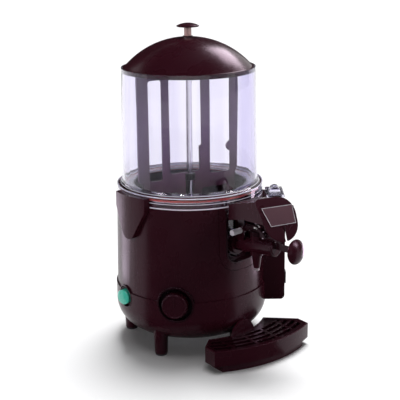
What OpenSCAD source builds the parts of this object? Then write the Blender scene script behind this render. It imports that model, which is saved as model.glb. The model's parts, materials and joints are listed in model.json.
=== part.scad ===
// Hot chocolate dispenser: a clear bowl over a heated water bath, stirred by a
// slow paddle on a central column and emptied through a lever tap at the front.
// Millimetres, +Z up, the tap points along -Y. The origin is on the table, at the
// middle of the machine's footprint. Azimuth 0 is the front, and it grows towards +X.

/* [Casings] */
// Height of the body's underside above the table
body_clear = 28; // [22:1:34]
// Outer radius of the lower casing
lower_r = 139; // [134:1:144]
// Height of the lower casing's shell
lower_h = 82; // [76:1:90]
// Radius of the rounded bottom edge of the lower casing
lower_corner_r = 50; // [40:1:54]
// Distance from the bottom opening's edge to the side of the casing
bottom_rim_w = 63; // [60:1:68]
// How far the upper casing is set back at the seam
seam_step = 2.4; // [1.6:0.2:3.6]
// How much the upper casing narrows up to the bowl
casing_taper = 3.6; // [2.2:0.2:4]
// Height of the upper casing up to the shoulder under the bowl's skirt
upper_h = 165.5; // [160:0.5:172]
// Height of the neck that stands inside the bowl's skirt
neck_h = 11.5; // [10:0.5:13]
// Wall thickness of both casings
casing_wall = 3; // [2.4:0.2:3.4]

/* [Feet] */
// Number of legs
foot_count = 5; // [3:1:5]
// Distance from a leg's middle to the side of the casing
foot_inset = 22; // [19:1:28]
// Radius of a leg at the bottom
leg_r_low = 11.5; // [10:0.5:13]
// Radius of a leg where it leaves the casing
leg_r_top = 13.5; // [12:0.5:15]
// Height of a rubber pad under its leg
pad_h = 4; // [3:0.5:6]

/* [Tap bay in the casing] */
// Half width of the bay
bay_half_w = 38; // [36.5:0.5:40]
// Height of the bay's floor above the table
bay_floor_z = 172; // [170:1:176]
// Radius of the bay's lower corners
bay_corner_r = 22; // [16:1:26]
// Width of the flat border around the bay
bay_border = 12; // [8:1:14]

/* [Side handles] */
// Azimuth of each handle from the front
handle_az = 93; // [88:1:100]
// Half width of a handle at its top
handle_half_w = 40; // [36:1:44]
// Radius of a handle's rounded lower tip
handle_tip_r = 17; // [14:1:20]
// Height of a handle's lower tip above the table
handle_tip_z = 215; // [208:1:222]
// How far a handle stands out from the casing
handle_proud = 11; // [8:0.5:12]

/* [Water bath] */
// Distance from the bath to the outside of the upper casing
bath_gap = 17; // [16.5:0.5:18.5]
// Wall thickness of the bath
bath_wall = 1.2; // [1:0.1:1.6]
// Height of the bath's floor above the table
bath_floor_z = 128; // [124:1:132]
// Radius of the heating element's ring
heater_ring_r = 75; // [60:1:85]
// Radius of the heating element's tube
heater_tube_r = 3.3; // [2.8:0.1:3.6]

/* [Bowl] */
// How much the bowl narrows from the flange up to its rim
bowl_taper = 3.8; // [2.8:0.2:4.8]
// Wall thickness of the bowl
bowl_wall = 3; // [2.6:0.2:3.4]
// Height of the bowl from its flange to the rim
bowl_h = 211.5; // [180:0.5:240]
// How far the bowl's skirt is set back from the casing
skirt_inset = 1; // [0.6:0.2:1.4]
// Width of the flange outside the bowl
flange_w = 9.2; // [8.6:0.2:10]
// Gap between the well and the outside of the bath
well_inset = 11; // [8:0.5:14]
// Height of the well's underside above the table
well_floor_z = 176; // [174:1:178]
// Thickness of the silicone ring under the flange
seal_h = 4; // [3:0.5:5]

/* [Column and paddle] */
// Outer radius of the column above the collar
column_r = 5; // [4.8:0.1:5.4]
// Outer radius of the column in the well
column_foot_r = 6.5; // [6:0.1:7]
// Radius of the drive shaft
shaft_r = 3; // [2.6:0.1:3.2]
// Gap between the paddle and the bowl's wall
paddle_clear = 12; // [8:0.5:18]
// Thickness of the paddle's plate
paddle_t = 4; // [3:0.5:5]
// Azimuth that the paddle's wide bar points to at rest
paddle_az = -103.5; // [-110:0.5:-95]
// Height of the paddle's crossbar
paddle_top_bar = 11; // [8:1:14]

/* [Lid] */
// Rise of the lid's dome above its edge
lid_rise = 52; // [46:1:58]
// Wall thickness of the lid
lid_wall = 2.5; // [2:0.1:3]
// Width of the flat lip around the dome
lid_lip_w = 2.8; // [2:0.2:4]
// Depth of the lid's skirt inside the bowl
lid_skirt_h = 7; // [5:0.5:8]
// Radius of the lid's knob
knob_r = 20; // [16:0.5:22]
// Height of the knob's stem
knob_stem_h = 15.6; // [12:0.2:20]
// Radius of the knob's stem
knob_stem_r = 6.5; // [5.5:0.1:7.5]
// Height of the knob's cap
knob_cap_h = 7; // [6:0.5:9]

/* [Tap] */
// Upward tilt of the tap's barrel in degrees
tap_tilt = 6; // [4:0.5:7]
// Distance from the bath to the tap's gasket
tap_gap = 2; // [1.5:0.5:3]
// Height of the barrel's axis at the gasket above the table
tap_z = 202.6; // [201.6:0.2:203.6]
// Length of the barrel in front of the gasket
barrel_l = 88; // [86:0.5:89]
// Radius of the barrel beside the bowl
barrel_r_back = 12.5; // [12:0.1:13]
// Radius of the barrel at its front end
barrel_r_front = 13.8; // [13:0.1:14]
// Radius of the barrel's bore
barrel_bore_r = 6.5; // [6:0.1:6.8]
// Distance from the gasket to the plunger and nozzle
plunger_ahead = 48; // [46:0.5:50]
// Radius of the plunger
plunger_r = 7.4; // [7:0.1:7.6]
// Height of the nozzle's tip above the table
nozzle_tip_z = 163; // [158:1:168]
// Distance from the gasket to the lever's pin
pivot_ahead = 19; // [18:0.5:20]
// Height of the lever's pin above the table
pivot_z = 232; // [231:0.5:233]
// Radius of the lever's pin
pivot_r = 3; // [2.6:0.1:3.2]
// Length of the pin's grip beside the tap
pin_grip_l = 21; // [16:0.5:23]
// Distance from the gasket to the middle of the lever's knob
knob_ahead = 136; // [134:0.5:139]
// Radius of the lever's knob
lever_knob_r = 22; // [19:0.5:23]

/* [Tap cover] */
// Distance from the gasket to the shield at the foot of its slot
shield_ahead = 111.5; // [110:0.5:113]
// Backward lean of the shield in degrees
shield_lean = 16; // [14:0.5:17]
// Turn of the shield towards the dial's side in degrees
shield_turn = 16; // [8:1:18]
// Radius of the shield's round lower end and right shoulder
shield_r = 31; // [29:0.5:33]
// Radius of the shield's upper left corner
shield_corner_r = 8.5; // [6:0.5:10]
// Height of the top of the shield above the table
cover_top_z = 305; // [303:0.5:307]
// Wall thickness of the cover
cover_wall = 2.6; // [2:0.1:3]
// Width of the lever's slot in the shield
slot_w = 4.6; // [4.4:0.1:5.4]

/* [Controls] */
// Azimuth of the thermostat dial
dial_az = -55.5; // [-60:0.5:-50]
// Height of the dial above the table
dial_z = 106; // [100:1:108]
// Radius of the dial's round bezel
dial_bezel_r = 33; // [30:0.5:34]
// Radius of the dial
dial_r = 22.5; // [19:0.5:24]
// Azimuth where the switch sits on the casing
switch_az = -103.5; // [-106:0.5:-100]
// Azimuth that the switch faces
switch_face_az = -82; // [-86:0.5:-80]
// Height of the switch above the table
switch_z = 99; // [96:1:102]
// Radius of the switch's recess
switch_cup_r = 21; // [20:0.5:22]
// Radius of the green push button
button_r = 13.6; // [12:0.1:14.4]

/* [Side housing] */
// Azimuth of the filler housing
side_az = 46; // [43:1:49]
// How far it stands out from the lower casing
side_depth = 33; // [31:0.5:36]
// Half width of the housing
side_half_w = 32; // [28:0.5:34]
// Height of its underside above the table
side_floor_z = 75; // [72:1:82]
// Height of its top above the table
side_top_z = 268; // [262:1:270]

/* [Drip tray] */
// How far the tray reaches in front of the lower casing
tray_reach = 67; // [63:1:70]
// Radius of the tray's front edge
tray_arc_r = 229; // [215:1:245]
// Half width of the tray
tray_half_w = 107; // [102:1:112]
// Height of the tray
tray_h = 40; // [36:1:44]
// Wall thickness of the tray
tray_wall = 3; // [2.4:0.2:3.4]
// Top of the round tab behind the tray, above the table
tray_tab_z = 65; // [60:1:70]
// How far the loose tray stands turned in degrees
tray_turn = 8; // [0:1:9]

/* [Drive] */
// Teeth on the big gear
gear_teeth = 60; // [60:12:60]
// Teeth on the motor's pinion
pinion_teeth = 12; // [12:12:12]
// Tooth size: pitch diameter per tooth
gear_module = 1; // [0.9:0.05:1.05]
// Radius of the motor
motor_r = 27; // [24:0.5:29]

/* [Hidden] */
$fn = 96;

cocoa = [0.20, 0.09, 0.09];
cocoa_dark = [0.12, 0.05, 0.05];
clear_tint = [0.85, 0.83, 0.95, 0.35];
steel = "silver";
rubber = [0.10, 0.10, 0.11];

cut = 1;          // how far a cutting shape reaches past a face
fit = 0.05;       // radial clearance of a turning or sliding fit
gap = 0.3;        // clearance between pieces that part
seat = 0.2;       // lift of a loose piece above what it rests on

// Heights that stack up from the table
seam_z = body_clear + lower_h;
shoulder_z = seam_z + upper_h;
neck_z = shoulder_z + neck_h;
bath_rim_z = neck_z + bath_wall;
seal_z = bath_rim_z + seat;
flange_z = seal_z + seal_h;
rim_z = flange_z + bowl_h;
dome_top_z = rim_z + lid_rise;
gearbox_z = body_clear + 58;
lock_ring_r = 22.5;

// Radii that follow from the lower casing's
bottom_open_r = lower_r - bottom_rim_w;
foot_ring_r = lower_r - foot_inset;
upper_r_low = lower_r - seam_step;
upper_r_top = upper_r_low - casing_taper;
bath_r = upper_r_top - bath_gap;
flange_r = upper_r_top - skirt_inset;
bowl_r_low = flange_r - flange_w;
bowl_r_top = bowl_r_low - bowl_taper;
well_r = bath_r - well_inset;
paddle_reach = bowl_r_top - bowl_wall - paddle_clear;

// Distances in front of the column
tap_y = bath_r + tap_gap;
plunger_y = tap_y + plunger_ahead;
pivot_y = tap_y + pivot_ahead;
lever_knob_y = tap_y + knob_ahead;
shield_y = tap_y + shield_ahead;
side_reach = lower_r + side_depth;
tray_front = lower_r + tray_reach;

// Where the machine's axis stands, so that the origin is under the middle of it
gland_reach = lower_r + 12;
knob_dome = 9;
front_reach = lever_knob_y + knob_dome;
axis_y = (front_reach - gland_reach) / 2;

module on_axis() translate([0, axis_y, 0]) children();
module at_azimuth(az) rotate([0, 0, az]) children();
// a flat outline in (y, z), as thick as x1 - x0
module side_view(x0, x1) translate([x0, 0, 0]) rotate([90, 0, 90]) linear_extrude(x1 - x0) children();
// a flat outline in (x, z), from one distance in front of the axis to another
module front_view(y0, y1) translate([0, -y0, 0]) rotate([90, 0, 0]) linear_extrude(y1 - y0) children();
// a round bar along the radius at azimuth 0
module radial_bar(r, y0, y1, z) translate([0, -y0, z]) rotate([90, 0, 0]) cylinder(r = r, h = y1 - y0);
module tube(r_out, r_in, z0, z1) difference() {
    translate([0, 0, z0]) cylinder(r = r_out, h = z1 - z0);
    translate([0, 0, z0 - cut]) cylinder(r = r_in, h = z1 - z0 + 2 * cut);
}
module disc(r, z0, z1) translate([0, 0, z0]) cylinder(r = r, h = z1 - z0);
// rounded rectangle from corner (x0, y0) to corner (x1, y1)
module round_rect(x0, y0, x1, y1, r) {
    translate([x0 + r, y0]) square([x1 - x0 - 2 * r, y1 - y0]);
    translate([x0, y0 + r]) square([x1 - x0, y1 - y0 - 2 * r]);
    for (x = [x0 + r, x1 - r], y = [y0 + r, y1 - r]) translate([x, y]) circle(r);
}

// ---- casings ----

// a round vessel with a rounded bottom edge
module round_can(r, z0, z1, corner) rotate_extrude() difference() {
    translate([0, z0]) square([r, z1 - z0]);
    difference() {
        translate([r - corner, z0 - cut]) square([corner + cut, corner + cut]);
        translate([r - corner, z0 + corner]) circle(corner);
    }
}
module lower_envelope() round_can(lower_r, body_clear, seam_z, lower_corner_r);
module upper_envelope() disc_taper(0, seam_z, shoulder_z);
module disc_taper(inset, z0, z1) translate([0, 0, z0])
    cylinder(r1 = upper_r_low - inset, r2 = upper_r_top - inset, h = z1 - z0);

// outer radius of the upper casing at a height
function casing_r(z) = upper_r_low - casing_taper * (z - seam_z) / upper_h;

leg_angles = [for (i = [0 : foot_count - 1]) i * 360 / foot_count];
pad_spigot_r = 5;
pad_spigot_h = 6;
seam_ledge_w = 8;

module dial_hole(r = dial_bezel_r) at_azimuth(dial_az) radial_bar(r, lower_r - 30, lower_r + 20, dial_z);
switch_on_casing = upper_r_low + 0.4;
module at_switch() translate([switch_on_casing * sin(switch_az), -switch_on_casing * cos(switch_az), 0])
    at_azimuth(switch_face_az) children();
module switch_hole() at_switch() radial_bar(switch_cup_r, -28, 20, switch_z);

gland_z = 88;
gland_r = 6.5;

module lower_casing() color(cocoa) difference() {
    union() {
        lower_envelope();
        for (a = leg_angles) at_azimuth(a) translate([0, -foot_ring_r, pad_h])
            cylinder(r1 = leg_r_low, r2 = leg_r_top, h = lower_corner_r);
    }
    round_can(lower_r - casing_wall, body_clear + casing_wall, seam_z - casing_wall,
        lower_corner_r - casing_wall);
    disc(lower_r - seam_ledge_w, seam_z - casing_wall - cut, seam_z + cut);
    disc(bottom_open_r, body_clear - cut, body_clear + casing_wall + cut);
    for (a = leg_angles) at_azimuth(a) translate([0, -foot_ring_r, pad_h - cut])
        cylinder(r = pad_spigot_r, h = pad_spigot_h + cut);
    for (a = screw_angles) at_azimuth(a) translate([0, -screw_ring_r, body_clear - cut])
        cylinder(r = screw_hole_r, h = casing_wall + 2 * cut);
    dial_hole();
    switch_hole();
    at_azimuth(180) radial_bar(gland_r, lower_r - 20, lower_r + 20, gland_z);
}

// outline of the tap bay, seen from the front and open at the top
module bay_outline(grow) {
    w = bay_half_w + grow;
    r = bay_corner_r + grow;
    z0 = bay_floor_z - grow;
    translate([-w, z0 + r]) square([2 * w, flange_z - z0]);
    translate([-w + r, z0]) square([2 * (w - r), r + cut]);
    for (s = [-1, 1]) translate([s * (w - r), z0 + r]) circle(r);
}
groove_w = 1.2;
groove_depth = 1;
side_inner_half_w = side_half_w - casing_wall;
filler_z = 238;
filler_tube_r = 8;
neck_r = flange_r - bowl_wall - gap;
neck_ring_w = 11;

module upper_casing() color(cocoa) difference() {
    rotate_extrude() polygon([
        [upper_r_low, seam_z], [upper_r_top, shoulder_z], [neck_r, shoulder_z], [neck_r, neck_z],
        [neck_r - neck_ring_w, neck_z], [neck_r - neck_ring_w, neck_z - casing_wall],
        [neck_r - casing_wall, neck_z - casing_wall], [neck_r - casing_wall, shoulder_z - casing_wall],
        [upper_r_top - casing_wall, shoulder_z - casing_wall], [upper_r_low - casing_wall, seam_z]]);
    front_view(neck_r - neck_ring_w - 20, upper_r_low + 20) bay_outline(0);
    intersection() {
        front_view(upper_r_top - 30, upper_r_low + 20) difference() {
            bay_outline(bay_border + groove_w);
            bay_outline(bay_border);
        }
        difference() {
            disc_taper(-5, seam_z, shoulder_z + cut);
            disc_taper(groove_depth, seam_z - cut, shoulder_z + 2 * cut);
        }
    }
    dial_hole();
    switch_hole();
    at_azimuth(side_az) radial_bar(filler_tube_r, bath_r, upper_r_low + 5, filler_z);
}

bay_notch_w = 25;
bay_back_r = bath_r + gap;
module notch_outline(w, z0) translate([-w, z0]) {
    translate([0, w]) square([2 * w, 200]);
    translate([w, w]) circle(w);
}
notch_z = tap_z - lock_ring_r - 2.5;

module tap_bay_liner() color(cocoa_dark) intersection() {
    difference() {
        front_view(bay_back_r - 10, upper_r_low + 10) bay_outline(0);
        difference() {
            front_view(bay_back_r - 20, upper_r_low + 20) bay_outline(-casing_wall);
            disc(bay_back_r + 2.4, bay_floor_z - 20, shoulder_z + cut);
        }
        front_view(bay_back_r - 30, upper_r_low + 30) notch_outline(bay_notch_w, notch_z);
    }
    difference() {
        disc_taper(0, seam_z, shoulder_z);
        disc(bay_back_r, seam_z - cut, shoulder_z + cut);
        translate([0, 0, shoulder_z - casing_wall - gap]) tube(200, neck_r - casing_wall - gap, 0, 20);
    }
}

handle_top_z = flange_z + 1;
handle_wide_h = 25;     // height of the handle's wide top
// straight flanks from the wide top to the round tip, touching the tip's circle
handle_mid_z = handle_tip_z + handle_tip_r;
handle_rise = handle_top_z - handle_wide_h - handle_mid_z;
handle_touch = atan2(handle_rise, handle_half_w) - acos(handle_tip_r / norm([handle_half_w, handle_rise]));
module handle() intersection() {
    front_view(upper_r_top - 20, upper_r_top + 40) {
        translate([0, handle_mid_z]) circle(handle_tip_r);
        polygon([[-handle_half_w, handle_top_z], [-handle_half_w, handle_mid_z + handle_rise],
            [-handle_tip_r * cos(handle_touch), handle_mid_z + handle_tip_r * sin(handle_touch)],
            [handle_tip_r * cos(handle_touch), handle_mid_z + handle_tip_r * sin(handle_touch)],
            [handle_half_w, handle_mid_z + handle_rise], [handle_half_w, handle_top_z]]);
    }
    difference() {
        translate([0, 0, handle_tip_z]) cylinder(r1 = casing_r(handle_tip_z) + handle_proud,
            r2 = casing_r(handle_top_z) + handle_proud, h = handle_top_z - handle_tip_z);
        disc_taper(0, seam_z, shoulder_z);
        disc(flange_r + gap, shoulder_z - cut, handle_top_z + cut);
    }
}
module left_handle() color(cocoa) at_azimuth(-handle_az) handle();
module right_handle() color(cocoa) at_azimuth(handle_az) handle();

// ---- base ----

screw_count = 5;
screw_angles = [for (i = [0 : screw_count - 1]) (i + 0.5) * 360 / screw_count];
screw_ring_r = bottom_open_r + 6;
screw_shank_r = 1.8;
screw_hole_r = 1.9;
screw_head_r = 3.5;
screw_head_h = 2;
plate_t = 2;
plate_z = body_clear + casing_wall;
plate_r = lower_r - lower_corner_r - 1;
vent_count = 12;

module base_plate() color(steel) difference() {
    disc(plate_r, plate_z, plate_z + plate_t);
    for (a = screw_angles) at_azimuth(a) translate([0, -screw_ring_r, plate_z - cut])
        cylinder(r = screw_hole_r, h = plate_t + 2 * cut);
    for (i = [0 : vent_count - 1]) at_azimuth((i + 0.5) * 360 / vent_count)
        translate([0, -bottom_open_r + 16, plate_z - cut]) linear_extrude(plate_t + 2 * cut)
            round_rect(-2.5, -9, 2.5, 9, 2.4);
}
module base_screws() color(steel) for (a = screw_angles) at_azimuth(a) translate([0, -screw_ring_r, 0]) {
    disc(screw_shank_r, body_clear - 0.5, plate_z + plate_t + 1);
    disc(screw_head_r, body_clear - screw_head_h, body_clear);
}
module foot_pads() color(rubber) for (a = leg_angles) at_azimuth(a) translate([0, -foot_ring_r, 0]) {
    cylinder(r1 = leg_r_low - 1, r2 = leg_r_low - 0.4, h = pad_h);
    disc(pad_spigot_r, pad_h - 0.5, pad_h + pad_spigot_h);
}
gland_flange_r = 10;
module cord_gland() color(rubber) at_azimuth(180) difference() {
    union() {
        radial_bar(gland_r, lower_r - casing_wall - 8, gland_reach, gland_z);
        radial_bar(gland_flange_r, lower_r, lower_r + 4, gland_z);
        radial_bar(gland_flange_r, lower_r - casing_wall - 6, lower_r - casing_wall - 0.8, gland_z);
    }
    radial_bar(3.6, lower_r - casing_wall - 20, gland_reach + 10, gland_z);
}

// ---- water bath and heater ----

bath_tube_r = 5.2;
bath_tube_top_z = well_floor_z + 30;
bath_flange_w = 10.6;
heater_z = bath_floor_z + 13;
heater_leg_r = 4;
heater_sweep = 320;
heater_nut_h = 6;

module bath_profile() {
    translate([bath_r - bath_wall, bath_floor_z + bath_wall]) square([bath_wall, bath_rim_z - bath_floor_z - bath_wall]);
    translate([bath_tube_r - 0.5, bath_floor_z]) square([bath_r - bath_tube_r + 0.5, bath_wall]);
    translate([bath_r - bath_wall, neck_z]) square([bath_flange_w + bath_wall, bath_wall]);
    translate([bath_tube_r - 1, bath_floor_z]) square([1, bath_tube_top_z - bath_floor_z]);
}
module water_bath() color(steel) difference() {
    rotate_extrude() bath_profile();
    front_view(bath_r - 20, bath_r + 20) notch_outline(bay_notch_w, notch_z);
    at_azimuth(side_az) radial_bar(filler_tube_r, bath_r - 10, bath_r + 5, filler_z);
    for (a = [-1, 1]) at_azimuth(180 + a * (360 - heater_sweep) / 2)
        translate([0, -heater_ring_r, bath_floor_z - cut]) cylinder(r = heater_leg_r + fit, h = bath_wall + 2 * cut);
}
module heating_element() color("dimgray") {
    rotate([0, 0, 90 + (360 - heater_sweep) / 2]) rotate_extrude(angle = heater_sweep)
        translate([heater_ring_r, heater_z]) circle(heater_tube_r);
    for (a = [-1, 1]) at_azimuth(180 + a * (360 - heater_sweep) / 2) translate([0, -heater_ring_r, 0])
        disc(heater_leg_r, bath_floor_z - 16, heater_z + heater_tube_r + 1);
}
module heater_nuts() color("goldenrod") for (a = [-1, 1]) at_azimuth(180 + a * (360 - heater_sweep) / 2)
    translate([0, -heater_ring_r, bath_floor_z - heater_nut_h]) difference() {
        cylinder(r = 8.5, h = heater_nut_h, $fn = 6);
        translate([0, 0, -cut]) cylinder(r = heater_leg_r + fit, h = heater_nut_h + 2 * cut);
    }

// ---- bowl ----

skirt_z = shoulder_z + gap + 0.5;
flange_t = 4;
well_wall = 3;
well_top_z = flange_z + flange_t;
well_inner_r = well_r - well_wall;
well_inside_z = well_floor_z + 4;
cove_r = flange_w - 1;
rebate_depth = lid_skirt_h + gap;
rebate_r = bowl_r_top - 1.8;
spout_r = 14;
spout_bore_r = 9;

// a point on the tap's axis: local +Z runs out along the barrel, local +Y is up
module at_tap() translate([0, -tap_y, tap_z]) rotate([90 - tap_tilt, 0, 0]) children();

module bowl_profile() difference() {
    union() {
        polygon([[bowl_r_low - bowl_wall, flange_z], [bowl_r_low, flange_z], [bowl_r_low, well_top_z + cove_r],
            [bowl_r_top, rim_z], [bowl_r_top - bowl_wall, rim_z], [bowl_r_low - bowl_wall, well_top_z + cove_r]]);
        translate([well_inner_r, flange_z]) square([flange_r - well_inner_r, flange_t]);
        translate([flange_r - bowl_wall, skirt_z]) square([bowl_wall, flange_z - skirt_z + 0.5]);
        difference() {
            translate([bowl_r_low - 1, well_top_z - 0.5]) square([cove_r + 0.5, cove_r + 0.5]);
            translate([bowl_r_low + cove_r, well_top_z + cove_r]) circle(cove_r);
        }
        translate([well_inner_r, well_inside_z + 8]) square([well_wall, flange_z - well_inside_z - 7]);
    }
    translate([0, rim_z - rebate_depth]) square([rebate_r, rebate_depth + cut]);
}
module bowl() color(clear_tint) difference() {
    union() {
        rotate_extrude() bowl_profile();
        difference() {
            round_can(well_r, well_floor_z, well_inside_z + 14, 12);
            round_can(well_inner_r, well_inside_z, well_inside_z + 15, 9);
        }
        difference() {
            at_tap() disc(spout_r, -22, -1);
            disc(well_inner_r + 1, well_floor_z, flange_z);
        }
    }
    at_tap() disc(spout_bore_r, -30, 2);
    disc(column_foot_r, well_floor_z - cut, well_inside_z + cut);
}
module bowl_seal() color([0.62, 0.14, 0.10]) rotate_extrude()
    translate([bath_r + 2, seal_z]) square([neck_r - bath_r - 2.6, seal_h]);

// ---- column, drive shaft and paddle ----

column_step_z = well_top_z + 1.5;
column_top_z = rim_z - 24;
column_bore_r = column_r - 1;
column_end_z = well_floor_z - 8;
column_nut_h = 6;
bush_l = 16;
bush_flange_h = 2;
shaft_low_z = gearbox_z + 0.5;
shaft_top_z = column_top_z + 13;
shaft_flat = shaft_r - 0.7;

module column() color(steel) difference() {
    union() {
        disc(column_foot_r, column_end_z, column_step_z);
        disc(column_r, column_step_z - 0.5, column_top_z);
        disc(12, well_inside_z, well_inside_z + 3);
    }
    disc(column_bore_r, column_end_z - cut, column_top_z + cut);
    disc(bath_tube_r + gap, column_end_z - cut, bath_tube_top_z + 4);
}
module column_nut() color(steel) difference() {
    translate([0, 0, well_floor_z - column_nut_h]) cylinder(r = 12, h = column_nut_h, $fn = 6);
    disc(column_foot_r, well_floor_z - column_nut_h - cut, well_floor_z + cut);
}
module column_bush() color("white") difference() {
    union() {
        disc(column_bore_r, column_top_z - bush_l, column_top_z + 0.5);
        disc(column_r, column_top_z, column_top_z + bush_flange_h);
    }
    disc(shaft_r + fit, column_top_z - bush_l - cut, column_top_z + bush_flange_h + cut);
}
module drive_shaft() color(steel) difference() {
    disc(shaft_r, shaft_low_z, shaft_top_z);
    for (s = [-1, 1]) translate([-shaft_r - cut, s > 0 ? shaft_flat : -shaft_flat - shaft_r, hub_z])
        cube([2 * shaft_r + 2 * cut, shaft_r, 40]);
}

hub_z = column_top_z + bush_flange_h + seat;
hub_r = 11;
paddle_top_z = rim_z - lid_skirt_h - 1.5;
bar_a = 22;       // width of the wide outer bar
bar_d = 18.5;     // width of the other outer bar
bar_b = [-56.5, -41.5];
bar_c = [25, 41.5];
bar_jog = 5;      // how much the third bar widens lower down
jog_z = flange_z + 66;
window_top_z = paddle_top_z - paddle_top_bar;
side_window_z = flange_z + 11.5;
mid_window_z = flange_z + 20;
blade_r = well_inner_r - 6;
blade_z = well_inside_z + 5;
window_corner = 5;
collar_r = 10;
collar_h = 12;
collar_z = column_step_z + seat;
blade_corner = 14;

module paddle_outline() difference() {
    union() {
        round_rect(-paddle_reach, well_top_z + 3, paddle_reach, paddle_top_z, blade_corner);
        round_rect(-blade_r, blade_z, blade_r, well_top_z + 40, blade_corner);
        translate([-paddle_reach, paddle_top_z - 20]) square([2 * paddle_reach, 20]);
    }
    round_rect(-paddle_reach + bar_a, side_window_z, bar_b[0], window_top_z, window_corner);
    round_rect(bar_b[1], mid_window_z, bar_c[0] - bar_jog, window_top_z, window_corner);
    round_rect(bar_b[1], jog_z, bar_c[0], window_top_z, window_corner - 1);
    difference() {
        round_rect(bar_c[1], side_window_z, paddle_reach - bar_d, window_top_z, window_corner);
        translate([paddle_reach - bar_d + 2, jog_z - 8]) circle(10);
    }
    for (s = [-1, 1]) round_rect(s * 52 - 26, blade_z + 18, s * 52 + 26, well_top_z - 18, window_corner);
    translate([-column_foot_r - 2, blade_z - cut]) square([2 * column_foot_r + 4, collar_z - blade_z + cut]);
}
module at_paddle() rotate([0, 0, paddle_az + 90]) children();
module paddle() color(cocoa) at_paddle() difference() {
    union() {
        front_view(-paddle_t / 2, paddle_t / 2) paddle_outline();
        disc(hub_r, hub_z, paddle_top_z);
    }
    disc(collar_r, collar_z - cut, collar_z + collar_h);
    disc(column_r + gap, collar_z, mid_window_z + cut);
    intersection() {
        disc(shaft_r + fit, hub_z - cut, shaft_top_z + 1);
        rotate([0, 0, -paddle_az - 90]) translate([-shaft_r - cut, -shaft_flat - fit, hub_z - cut])
            cube([2 * shaft_r + 2 * cut, 2 * (shaft_flat + fit), 40]);
    }
}
module paddle_collar() color(rubber) tube(collar_r, column_r + fit, collar_z, collar_z + collar_h);
module paddle_cap() color(cocoa_dark) rotate_extrude() intersection() {
    translate([0, paddle_top_z]) square([8.5, 8]);
    translate([0, paddle_top_z - 4]) circle(12);
}

// ---- gear drive ----

gear_gap = gear_module * (gear_teeth + pinion_teeth) / 2 + 0.1;
gear_t = 6;
gear_z = gearbox_z + 5;
gearbox_wall = 3;
gearbox_h = 18;
gear_tip_r = gear_module * (gear_teeth + 2) / 2;
pinion_tip_r = gear_module * (pinion_teeth + 2) / 2;
motor_shaft_r = 2.5;
post_r = 4;

// spur gear outline: straight-sided teeth, one of them on the +X axis
module gear_outline(teeth) {
    root = gear_module * (teeth - 2.5) / 2;
    tip = gear_module * (teeth + 2) / 2 - 0.1;
    pitch = 360 / teeth;
    polygon([for (i = [0 : teeth - 1], k = [[root, -0.34], [tip, -0.13], [tip, 0.13], [root, 0.34]])
        [k[0] * cos((i + k[1]) * pitch), k[0] * sin((i + k[1]) * pitch)]]);
}
module drive_gear() color("gold") difference() {
    union() {
        translate([0, 0, gear_z]) linear_extrude(gear_t) rotate([0, 0, 180 / gear_teeth]) gear_outline(gear_teeth);
        disc(9, gear_z - 1.5, gear_z + gear_t + 2);
    }
    disc(shaft_r, gear_z - 2 * cut, gear_z + gear_t + 2 + cut);
}
module motor_pinion() color("gold") translate([0, gear_gap, 0]) {
    translate([0, 0, gear_z - 1]) linear_extrude(gear_t + 2) rotate([0, 0, -90]) gear_outline(pinion_teeth);
    disc(motor_shaft_r, gearbox_z - 20, gear_z);
}
module gearbox_outline(grow) {
    circle(gear_tip_r + 2 + grow);
    translate([0, gear_gap]) circle(pinion_tip_r + 4 + grow);
}
module gearbox_housing() color("gray") difference() {
    translate([0, 0, gearbox_z]) linear_extrude(gearbox_h) gearbox_outline(gearbox_wall);
    translate([0, 0, gearbox_z + gearbox_wall]) linear_extrude(gearbox_h) gearbox_outline(0);
    disc(shaft_r + fit, gearbox_z - cut, gearbox_z + gearbox_wall + cut);
    translate([0, gear_gap, 0]) disc(motor_shaft_r + fit, gearbox_z - cut, gearbox_z + gearbox_wall + cut);
}
module gearbox_cover() color("gray") difference() {
    translate([0, 0, gearbox_z + gearbox_h]) linear_extrude(gearbox_wall) gearbox_outline(gearbox_wall);
    disc(shaft_r + fit, gearbox_z + gearbox_h - cut, gearbox_z + gearbox_h + gearbox_wall + cut);
}
module gearbox_posts() color(steel) for (a = [-70, 0, 70]) at_azimuth(a) translate([0, -gear_tip_r + 2, 0])
    disc(post_r, plate_z + plate_t, gearbox_z);
module motor() color("dimgray") translate([0, gear_gap, 0]) difference() {
    union() {
        disc(motor_r, gearbox_z - 44, gearbox_z - 2);
        disc(10, gearbox_z - 2.5, gearbox_z);
        disc(8, gearbox_z - 47, gearbox_z - 43.5);
    }
    disc(motor_shaft_r + fit, gearbox_z - 21, gearbox_z + cut);
}

// ---- lid ----

lid_edge_r = rebate_r - 0.4;
dome_edge_r = lid_edge_r - lid_lip_w;
dome_r = (dome_edge_r * dome_edge_r + lid_rise * lid_rise) / (2 * lid_rise);
dome_z = dome_top_z - dome_r;
knob_screw_r = 2.9;
base_disc_h = 1.5;
base_disc_r = 9;
stem_z = dome_top_z + base_disc_h;
cap_z = stem_z + knob_stem_h;
stem_flutes = 12;

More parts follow.
